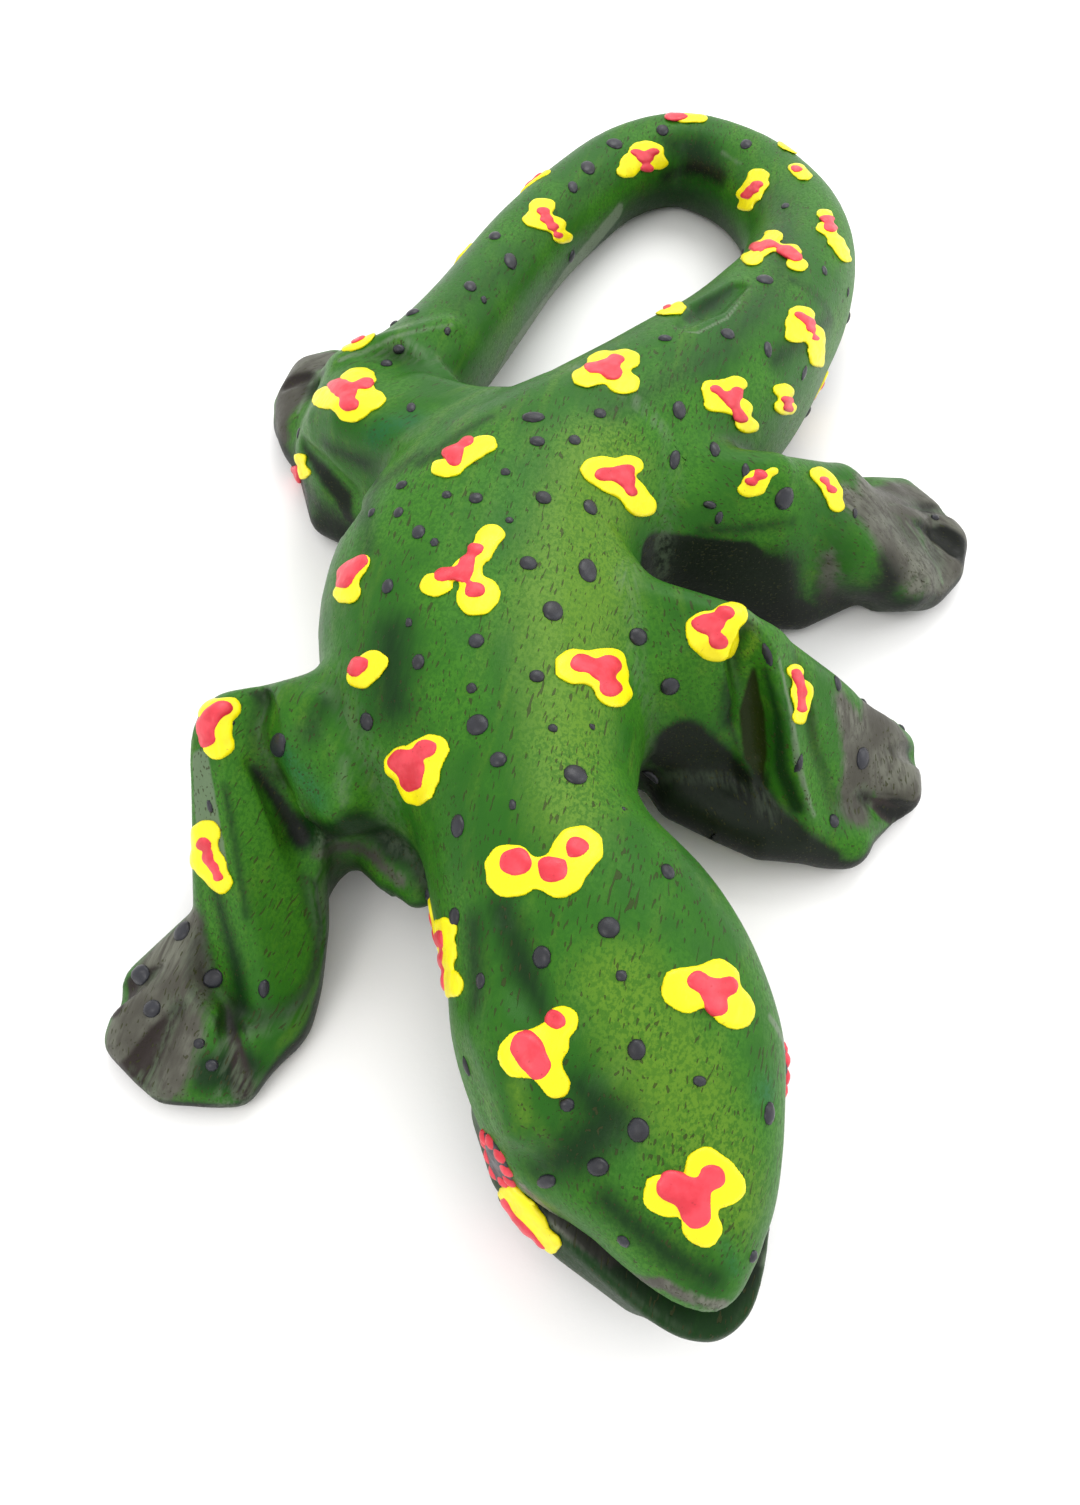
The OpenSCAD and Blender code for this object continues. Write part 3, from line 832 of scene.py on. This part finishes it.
# How deep in and how far out sharp edges and hollows are felt for
FEEL = 1.6


def stroke_mask(skin, points, softness, stroke):
    """1 along a stroke, falling to 0 across its soft edge."""
    spots, _, radii = on_wood(skin, stroke)
    rods = np.column_stack([spots, radii])
    if len(rods) == 1:
        rods = np.repeat(rods, 2, axis=0)
    return np.clip(0.5 - chain_gap(rods, *points.T) / softness, 0, 1)


def paint_masks(skin, points):
    """How strongly each kind of colouring shows at each point, from 0 to 1."""
    masks = {colour: np.zeros(len(points)) for colour in COLOURS}
    for colour, softness, stroke in STROKES:
        masks[colour] = np.maximum(masks[colour], stroke_mask(skin, points, softness, stroke))

    # walls low down, the legs and the lower jaw are darker
    x, y, z = points.T
    facing = slope(skin, points, 2.0)
    wall = np.clip((0.5 - facing[:, 2]) / 0.35, 0, 1)
    low = np.clip((15 - z) / 9, 0, 1)
    limb = np.clip((np.abs(x + 3) - 24) / 8, 0, 1) * np.clip((70 - y) / 20, 0, 1)
    jaw = np.clip((lip_at(y) + 0.3 - z) / 0.5, 0, 1) * np.clip((-80 - y) / 8, 0, 1)
    masks["dark"] = np.maximum.reduce([masks["dark"], wall * low * 0.8, jaw * 0.9])
    masks["soot"] = np.maximum(masks["soot"], np.maximum(wall * low * limb * 0.7, jaw * 0.25))

    # sharp edges are paler, partly worn lacquer and partly painted highlight, and hollows are darker with
    # painted shade
    bulge = sample(skin, points - FEEL * facing) + FEEL
    dip = FEEL - sample(skin, points + FEEL * facing)
    masks["wear_and_edge_highlight"] = np.clip((bulge - 0.35) * 2.5, 0, 1)
    masks["hollow_shade"] = np.clip((dip - 0.3) * 2.0, 0, 1)
    return masks


# ---------------------------------------------------------------- raised paint

# Drops of yellow, then the red drops on top: x, y, radius on the sheet
DABS = [
    [[(5.7, -96.4, 2.1), (10.1, -93.8, 2.1), (12, -95.5, 2), (9.3, -99.4, 2)],
     [(6.6, -95.7, 1.5), (10.7, -94.7, 1.25), (8.8, -98.2, 1.4), (8.7, -96.2, 1.2)]],
    [[(9.3, -74.7, 2.7), (13, -73.4, 2.3), (14.3, -76.9, 2.4)],
     [(10.7, -73.7, 1.1), (14.1, -74.2, 1), (12.5, -76.5, 1.2), (12.3, -74.6, 0.9)]],
    [[(-8.3, -82, 2.7), (-4, -78.2, 1.7), (-5.4, -81, 1.9), (-4.9, -85.2, 1.6)],
     [(-7.9, -81.2, 1.7), (-6.8, -83.2, 1.35), (-4.8, -78.2, 1)]],
    [[(-9.6, -96.6, 1.2), (-8.4, -98, 1.3), (-7.2, -99.3, 1.4), (-5.4, -101, 1)],
     [(-9.9, -97.3, 0.6), (-9, -98.6, 0.6), (-7.9, -99.8, 0.7), (-6.4, -101, 0.5)]],
    [[(-17.3, -67.6, 1.6), (-17, -70.6, 1.5), (-16.2, -74.2, 1.5)],
     [(-17.6, -68.6, 0.9), (-17.3, -71.2, 0.8), (-17, -73.8, 0.9)]],
    [[(-10, -59.2, 2.7), (-9.8, -61, 2.6), (-4.2, -60.7, 2.9), (-2, -57, 3)],
     [(-9.4, -58.9, 1.8), (-5, -59.9, 1.7), (-2.2, -56.9, 1.3)]],
    [[(-22.9, -45.3, 2.7), (-19.9, -43.2, 2.3), (-20.6, -47, 2), (-21.3, -49.3, 2)],
     [(-23.2, -45, 1.8), (-20.5, -43, 1.3), (-21.9, -46.3, 1.3), (-22, -48.1, 1.2)]],
    [[(-28.1, -29.7, 2.1), (-29.4, -32, 1.9)],
     [(-29.6, -29.7, 0.95), (-30.1, -31, 0.9)]],
    [[(-1.8, -30.3, 2.9), (2.2, -29.6, 2.5), (2.9, -34.6, 2.3), (2.2, -32, 2.2)],
     [(-1.1, -29.7, 1.5), (2.5, -30, 1.5), (2.5, -33.7, 1.4), (1.3, -31, 1.3)]],
    [[(15.9, -24.4, 3.4), (16.3, -26.8, 2.8), (19, -21.4, 2.1)],
     [(14.8, -23.3, 1.3), (18.1, -21.3, 1.2), (16.75, -26.2, 1.3), (16.3, -23, 1.4)]],
    [[(26.2, -31, 1.1), (26.8, -34, 1.5), (26.4, -36.3, 1.1), (25.9, -38.6, 0.9)],
     [(26.3, -31.3, 0.6), (26.6, -32.8, 0.5), (26.7, -34.4, 0.6), (26.5, -35.8, 0.4), (26.3, -37, 0.5)]],
    [[(-45.6, -36.9, 1.7), (-48, -37.2, 1.6), (-45.9, -42.8, 1.9), (-46.7, -40, 1.9)],
     [(-46.1, -36.9, 1), (-47.3, -37.4, 1), (-48, -38.8, 1), (-47.9, -40.4, 0.9), (-47.4, -42, 0.8)]],
    [[(-45.8, -55, 1.8), (-45.4, -58.3, 1.9), (-43.9, -60.3, 1.5), (-42.8, -62, 1.1)],
     [(-45.8, -56.5, 0.8), (-45, -58.3, 0.6), (-44.2, -59.6, 0.5), (-43.4, -61, 0.5)]],
    [[(-34.4, 25.5, 2.8), (-38.6, 21.3, 2.6), (-32.2, 20.8, 2.4), (-34.7, 18.1, 2.4)],
     [(-37.2, 23.9, 1.6), (-33.3, 24.6, 1.3), (-35.3, 19.7, 1.5), (-36.1, 22.8, 1.5)]],
    [[(-14.7, 11.1, 2), (-17.2, 8.9, 2), (-20.8, 6.1, 1.6), (-19.2, 6.1, 1.7)],
     [(-17.2, 11.7, 0.9), (-19.2, 9.2, 1.5), (-18.9, 7.2, 0.8)]],
    [[(-30.8, -12.1, 1.2), (-32.2, -14.4, 1.7), (-32.4, -17.9, 1.9)],
     [(-31, -12.1, 1), (-32.5, -13.9, 1.3), (-33, -16.1, 0.9)]],
    [[(-13.3, -7.1, 2), (-14.6, -10.3, 1.9), (-16.5, -13.5, 2.1), (-20.6, -16.3, 2.2),
      (-14.4, -17.6, 2.5), (-15, -19.4, 2.5)],
     [(-15.25, -9.7, 1), (-16.3, -12, 1), (-19.6, -14.6, 1.2), (-15.25, -17.3, 1.4), (-17, -14.2, 1.3)]],
    [[(-34.2, 36.5, 1.7), (-35, 34.2, 1.4), (-36.7, 32.8, 1)],
     [(-35.1, 35.8, 0.9), (-35.9, 34.7, 0.6)]],
    [[(-41.6, 8, 1.2), (-40.8, 5, 1.3)],
     [(-41.8, 5.5, 0.8), (-41.5, 3.8, 0.8)]],
    [[(-26.2, 48.4, 1.8)], []],
    [[(0.7, 26, 2.4), (3.4, 29.6, 2.6), (6.8, 30.2, 2.4), (6.3, 24.6, 2.6)],
     [(1.7, 28.2, 1.3), (5.3, 30.1, 1.3), (4.7, 26.8, 1.5), (3.8, 28.5, 1.3)]],
    [[(2.2, 5.6, 2.9), (6.4, 6.6, 2.2), (4.1, 3.2, 2.4), (6.6, 1.2, 2.2), (7.9, -1.7, 2.2)],
     [(2.8, 4.7, 1.4), (4.5, 4.9, 1.1), (6.2, 5.7, 1.1), (5.9, 3.4, 1.1), (6.6, 1.2, 0.9)]],
    [[(19.9, 23.5, 1.9), (20.2, 20, 2.1), (23.4, 24.4, 1.9), (23.5, 19, 2.1), (24.4, 15, 1.8)],
     [(20.3, 23.2, 0.9), (21.4, 21.6, 0.8), (23.6, 23, 0.8), (23, 21.4, 0.7), (22.6, 19.9, 1),
      (23.2, 18, 0.8), (23.7, 16.4, 0.8)]],
    [[(30.6, 22.9, 1.7), (30.4, 19, 1.8)],
     [(30.8, 20.8, 0.8), (30.9, 18.8, 0.8)]],
    [[(33.75, 35.6, 1.6), (35.5, 41.2, 2.2), (34.4, 38.5, 1.9), (37.2, 36.9, 1.5), (37, 34.6, 1.4),
      (36.9, 32.2, 1.4), (36.6, 29.6, 1.4)],
     [(35.1, 41.2, 0.8), (36.3, 39.6, 0.9), (36.6, 37.6, 0.8), (37, 35.2, 0.6)]],
    [[(12.6, 42.6, 1.5), (15.2, 42.9, 1.9)],
     [(13.6, 43.6, 1)]],
    [[(27.2, 5.4, 0.8), (24.7, 3.9, 1.7), (24.1, 1.9, 1.6), (22.6, 1.4, 0.8)],
     [(25.3, 4.7, 0.9), (23.75, 3.2, 0.8)]],
    [[(33.75, 5, 1.4), (34.7, 3.2, 1.5), (35.3, 1, 1.4), (35.4, -1.6, 1.2)],
     [(34.4, 3.6, 0.7), (35.2, 1.7, 0.7)]],
    [[(-6.1, 71, 2.4), (-7.2, 67, 2.4), (-4.4, 65.6, 2.4), (-2.6, 61.8, 1.8)],
     [(-6, 69.6, 1.1), (-5.4, 67.2, 1.1), (-4.3, 64.8, 1), (-3.3, 62.4, 0.8)]],
    [[(12.9, 88.2, 3.2), (10.5, 84.8, 2.6), (14.2, 84.3, 2.4), (9, 81.4, 2)],
     [(11, 87.6, 1.1), (14, 87.8, 1.1), (12.5, 85.6, 1.4), (12.7, 82.6, 1.2)]],
    [[(32.5, 80.6, 1.9), (31.8, 77.6, 2.2), (30.2, 74.4, 2.4), (29.2, 70.8, 1.5)],
     [(32, 77.6, 1), (30.8, 75.8, 1.1), (29.6, 74, 1)]],
    [[(39.4, 82.6, 1.6), (40.4, 80.2, 1.6)],
     [(39.4, 82.4, 1)]],
    [[(38.6, 90.2, 1.8), (40.2, 88.4, 1.4)],
     [(40.4, 89.4, 1.1)]],
    [[(42.7, 68.6, 1.5), (42.5, 64.5, 1.9), (43.6, 60.8, 1.6), (44.2, 58, 1.3), (44.6, 55.8, 1)],
     [(42.9, 67.2, 1.1), (43.1, 64.5, 1.1)]],
    [[(28.9, 55.9, 1.9), (33.2, 62.3, 1.7), (31.1, 59.1, 2), (36.3, 54.3, 1.9), (35.6, 58.2, 1.9)],
     [(30.1, 59.1, 1.3), (32.3, 60.2, 1.1), (35, 58.1, 1.5), (36.2, 56.3, 1.1)]],
    [[(20.5, 99, 1.8), (23.3, 98.9, 1.5)],
     [(18.2, 99.4, 1.3), (20, 99.6, 1)]]
]

# Black drops: x, y on the sheet, width, length
BLACK_DOTS = [
    (1.2, -67.3, 2.7, 2.7), (-6.3, -70.9, 2.5, 2.7), (2.4, -73.1, 1.5, 1.5), (3.7, -81.5, 2.1, 2.4),
    (10.1, -84.9, 1.7, 1.3), (17, -88.3, 1.9, 2.5), (3.5, -90, 2.4, 2.6), (-3.7, -87.4, 1.7, 1.6),
    (-0.7, -93.7, 2.5, 2), (-5.8, -95.1, 3, 1.5), (1.6, -100.8, 1.4, 1.6), (14, -102.2, 1.4, 1.4),
    (-13, -73.7, 1.5, 2.1), (-14.2, -83.3, 1.3, 2.4), (-16.1, -66, 2.2, 2.4), (8.2, -60.2, 1.9, 2.4),
    (-16.2, -54.1, 2.3, 3.1), (-9.8, -51.2, 1.1, 1.7), (3.5, -51.7, 0.8, 1), (-2.2, -46.9, 3.2, 3.1),
    (-11.6, -44.7, 2.3, 2.3), (-14.3, -39.5, 3, 3.1), (-4.9, -40, 1.5, 1.3), (0, -39.8, 1.1, 1.2),
    (-15.2, -33.8, 1.5, 1.8), (-6.9, -31.9, 2.2, 2), (10, -33.5, 2.7, 2.6), (6.3, -25.4, 2.7, 2.5),
    (-14.8, -26.1, 2.2, 2.4), (-4.8, -21, 3, 3.4), (-28.1, -39, 2.1, 2.5), (-22.2, -29.6, 1.9, 2.4),
    (-23.8, -23, 1.2, 1.7), (-27, -16.7, 1.9, 2.6), (0, -13.8, 3, 4.2), (-8.1, -12.5, 2.6, 2.5),
    (-10.8, -4.4, 1.4, 1.4), (-23.4, -6.7, 2.1, 2.7), (-21.1, -8.6, 1.4, 1.8), (-26.4, -2.9, 1.7, 2.3),
    (-30.2, -2.9, 1.4, 2), (-19.8, 0.6, 1.5, 1.8), (-15.6, -0.1, 2.2, 2.2), (-6, 0, 2.5, 2.6),
    (0.6, -1.9, 2.5, 2.9), (-11.5, 5.2, 1.6, 1.7), (17.5, -1.4, 2.2, 1.2), (18.6, -3.9, 1.3, 2.1),
    (28.3, -0.1, 3.2, 3.5), (-6.9, 11.6, 2.5, 2.1), (-1.4, 11.9, 2, 2.1), (-7.5, 16.8, 3.6, 2.5),
    (2.5, 17.7, 2.1, 2.2), (14.4, 18.4, 2.4, 3.4), (13.1, 7.8, 1.8, 3.2), (19.1, 10, 1.7, 3.2),
    (13.2, 35.1, 2.4, 1.7), (23.2, 36.3, 2.4, 2.8), (29.2, 32.5, 1.7, 3.4), (34.2, 26.9, 1.3, 3.2),
    (30.5, 50.2, 3, 3.2), (40.6, 52.6, 1.3, 2.6), (36.1, 70.9, 1.6, 2.2), (31.1, 90.2, 2.2, 3),
    (16.1, 94.9, 2.4, 2.6), (7.1, 90.4, 3.2, 3), (2.1, 82.7, 2.8, 3.8), (-0.7, 76.6, 2, 3),
    (-14.2, 62.2, 2.2, 3), (-11.4, 55.2, 2.6, 4), (-17.9, 48.4, 2.2, 3.1), (-15.6, 44.9, 1.3, 2),
    (-27, 41.6, 2.4, 2.4), (-30, 39.2, 1.6, 1.7), (-28.6, 32.5, 2, 1.6), (-30.3, 29, 2, 1.8),
    (-21.2, 37, 1.3, 1.8), (-25.9, 19, 1.5, 2.4), (-26.3, 2.5, 2, 1.8), (-42.2, 13.4, 1.2, 2.4),
    (-38.7, -42.6, 4.4, 2.8), (-45.8, -51.4, 1, 2.2), (-46.5, -67.7, 2.4, 2.6), (-42.1, -73.4, 2.2, 2.2),
    (-48.3, -76.9, 2.2, 2), (-50.2, -73, 2.6, 2.4), (-42.6, -80.8, 1.4, 1.2), (-40.9, -83.2, 1.5, 1.3),
    (-36.5, -74.6, 1.3, 2.2), (-44.8, -39.3, 0.8, 1.2), (22.9, -28.4, 1.3, 3.6), (31.4, -33, 1.5, 2.6),
    (25.2, -45.2, 1, 2.8), (32.9, -44.5, 2.2, 3), (28.2, -53.4, 1.5, 1.9), (38.5, -39.8, 1.1, 1.2),
    (34.9, -35.2, 0.8, 2), (37.8, -3, 0.9, 2), (48.9, -3.9, 1.4, 1), (23.2, 5.4, 1.4, 2.6),
    (43.7, 46.9, 1, 2.4), (7, -47, 1, 2.6)
]

# Three-lobed dabs on the walls, which the sheet doesn't reach: x, y, z, turn in degrees
WALL_DABS = [
    (-19.5, -66.5, 15, 0), (11.5, -56.5, 16, 40), (-4, 31, 22, 20), (-8, 83.5, 15, 70),
    (-20.5, 60, 15, 10), (24, 4, 14, 50), (18, -62, 10, 0), (-32, -24, 12, 30), (50, 62, 7, 0),
    (28, 106, 10, 30), (-32, -2, 14, 80), (42, 34, 6, 0)
]
# Dots on the walls: x, y, z
WALL_DOTS = [
    (-20, -58, 9), (-23, -60, 14), (14, -66, 13), (20, -72, 11), (-17, -78, 8), (-32, -12, 9),
    (-31, -30, 8), (22, -6, 9), (22, 14, 10), (-33, -20, 6), (48, 50, 10), (52, 74, 9), (44, 96, 9),
    (12, 106, 10), (-2, 94, 9), (-16, 72, 9), (-24, 50, 10), (44, 22, 9), (24, -80, 8), (20, -92, 10),
    (-13, -96, 6), (38, 28, 8), (6, 66, 9), (30, 70, 9), (2, 48, 9), (10, 44, 12)
]

# Radius of a wall dab's lobes, and how far they are from its middle
WALL_YELLOW = (2.0, 1.9)
WALL_RED = (1.15, 1.3)
WALL_DOT_SIZE = 2.3

# How far each paint stands above the wood, and how its drops run together
YELLOW_RISE = 0.35
RED_RISE = 0.62
BLACK_RISE = 0.5
YELLOW_BLEND = 1.8
RED_BLEND = 1.3
RED_SPREAD = 0.25

# A dab's rim is wider than it is high, its outline wavers, and a lobe reaches only so many radii
RIM_STRETCH = 1.4
WAVER = 0.10
LOBE_REACH = 2.8
PAINT_MARGIN = 0.6
PAINT_VOXEL = 0.28


def paint_shell(skin, middle, reach, shape):
    """Closed shell of paint on the wood; shape(points, height) is below 0 inside the paint."""
    start = middle - reach
    counts = np.ceil(2 * reach / PAINT_VOXEL).astype(int) + 1
    axes = [start[i] + PAINT_VOXEL * np.arange(counts[i]) for i in range(3)]
    points = np.stack(np.meshgrid(*axes, indexing="ij"), axis=-1).reshape(-1, 3)
    field = shape(points, sample(skin, points)).reshape(counts)
    return field_mesh(field, start, PAINT_VOXEL)


def merged_lobes(gaps, blend):
    merged = gaps[0]
    for gap in gaps[1:]:
        merged = smooth_min(merged, gap, blend)
    return merged


def dab_shell(skin, spots, radii, rise, outline):
    """Flat drop of paint with a rounded rim; outline(points, height) is below 0 inside its edge."""
    def shape(points, height):
        x, y, z = points.T
        edge = outline(points, height) + WAVER * np.sin(1.9 * x + 0.7 * z) * np.sin(2.3 * y + 0.9 * z)
        rim = rise * RIM_STRETCH
        return np.hypot(np.maximum(edge + rim, 0), height * RIM_STRETCH) - rim

    low = (spots - 2 * radii[:, None]).min(axis=0)
    high = (spots + 2 * radii[:, None]).max(axis=0)
    return paint_shell(skin, (low + high) / 2, (high - low) / 2 + PAINT_MARGIN, shape)


def round_lobes(skin, spots, radii, rise, blend):
    """A dab of round lobes measured along the wood."""
    def outline(points, height):
        gaps = [np.sqrt(np.maximum(((points - spot) ** 2).sum(axis=1) - height ** 2, 0)) - radius
                for spot, radius in zip(spots, radii)]
        return merged_lobes(gaps, blend)

    return dab_shell(skin, spots, radii, rise, outline)


def sheet_dab(skin, lobes, rise, blend):
    """A dab whose lobes look round on the sheet."""
    lobes = np.array(lobes, dtype=float)
    spots, _, radii = on_wood(skin, lobes)

    def outline(points, height):
        stretch = (EYE[2] - SHEET_HEIGHT) / (EYE[2] - points[:, 2:])
        seen = EYE[:2] + (points[:, :2] - EYE[:2]) * stretch
        gaps = [(np.linalg.norm(seen - lobe[:2], axis=1) - lobe[2]) / stretch[:, 0] for lobe in lobes]
        reach = np.min([np.linalg.norm(points - spot, axis=1) - LOBE_REACH * radius
                        for spot, radius in zip(spots, radii)], axis=0)
        return np.maximum(merged_lobes(gaps, blend), reach)

    return dab_shell(skin, spots, radii, rise, outline)


def wall_dab(skin, place, turn, lobe, spread, rise, blend):
    """Three lobes round a place on a wall."""
    centre = settle(skin, np.array([place], dtype=float))
    across, up = frame_at(slope(skin, centre, 2)[0])
    angles = np.radians(turn + np.array([0, 120, 240]))
    spots = centre + spread * (np.outer(np.cos(angles), across) + np.outer(np.sin(angles), up))
    return round_lobes(skin, settle(skin, spots), np.full(3, lobe), rise, blend)


def dot_shell(skin, centre, facing, half_width, half_length):
    """Domed oval drop."""
    across, up = frame_at(facing)
    rise = BLACK_RISE * min(1, half_width)

    def shape(points, height):
        offset = points - centre
        ratio = np.sqrt((offset @ across / half_width) ** 2 + (offset @ up / half_length) ** 2
                        + (height / rise) ** 2)
        return (ratio - 1) * rise

    return paint_shell(skin, centre, np.full(3, max(half_width, half_length) + PAINT_MARGIN), shape)


def sheet_dot(skin, x, y, width, length):
    spots, facings, halves = on_wood(skin, [(x, y, 0.5)])
    return dot_shell(skin, spots[0], facings[0], width * halves[0], length * halves[0])


def wall_dot(skin, place):
    centre = settle(skin, np.array([place], dtype=float))
    return dot_shell(skin, centre[0], slope(skin, centre, 2)[0], WALL_DOT_SIZE / 2, WALL_DOT_SIZE / 2)


# Painted eyes: a black oval with a ring of red drops, on the walls of the head
EYES = [(-11.5, -92.3, 14.5), (20, -82.5, 14)]
EYE_HALF_WIDTH = 4.6
EYE_HALF_LENGTH = 2.9
EYE_DROPS = 9
EYE_DROP_RADIUS = 0.95
EYE_RING = 0.8


def eye_shells(skin, place):
    """The black oval, and the red drops round it."""
    centre = settle(skin, np.array([place], dtype=float))[0]
    facing = slope(skin, centre[None, :], 3)[0]
    across, up = frame_at(facing)
    oval = dot_shell(skin, centre, facing, EYE_HALF_WIDTH, EYE_HALF_LENGTH)
    angles = 2 * math.pi * np.arange(EYE_DROPS) / EYE_DROPS
    ring = centre + EYE_RING * (np.outer(np.cos(angles) * EYE_HALF_WIDTH, across)
                                + np.outer(np.sin(angles) * EYE_HALF_LENGTH, up))
    drops = [round_lobes(skin, spot[None, :], np.array([EYE_DROP_RADIUS]), RED_RISE, RED_BLEND)
             for spot in settle(skin, ring)]
    return oval, drops


def paint_figure(skin):
    yellow = [sheet_dab(skin, lobes, YELLOW_RISE, YELLOW_BLEND) for lobes, _ in DABS]
    red = [sheet_dab(skin, np.array(lobes) + (0, 0, RED_SPREAD), RED_RISE, RED_BLEND)
           for _, lobes in DABS if lobes]
    black = [sheet_dot(skin, *dot) for dot in BLACK_DOTS]
    for *place, turn in WALL_DABS:
        yellow.append(wall_dab(skin, place, turn, *WALL_YELLOW, YELLOW_RISE, YELLOW_BLEND))
        red.append(wall_dab(skin, place, turn, *WALL_RED, RED_RISE, RED_BLEND))
    for place in WALL_DOTS:
        black.append(wall_dot(skin, place))
    for place in EYES:
        oval, drops = eye_shells(skin, place)
        black.append(oval)
        red += drops
    yellow_paint = paint_material("yellow_paint", (0.78, 0.66, 0.0, 1), (0.90, 0.80, 0.0, 1), 0.4)
    red_paint = paint_material("red_paint", (0.58, 0.022, 0.040, 1), (0.72, 0.050, 0.075, 1), 0.4)
    black_paint = paint_material("black_paint", (0.010, 0.010, 0.014, 1), (0.018, 0.019, 0.026, 1), 0.38)
    make_object("yellow_dabs", *joined(yellow), yellow_paint, "yellow_paint")
    make_object("red_dabs", *joined(red), red_paint, "red_paint")
    make_object("black_dots", *joined(black), black_paint, "black_paint")


# ---------------------------------------------------------------- the figure

make_camera()
make_studio()
skin, parts = carve_wood()
for name in WOOD_NODES:
    material = painted_wood_material(name + "_paint", GRAIN_TURN[name])
    carved_piece(name, skin, split_field(name, parts), material)
paint_figure(skin)
peg_material = bare_wood_material()
for name in PEG_NODES:
    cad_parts[name].data.materials.clear()
    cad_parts[name].data.materials.append(peg_material)
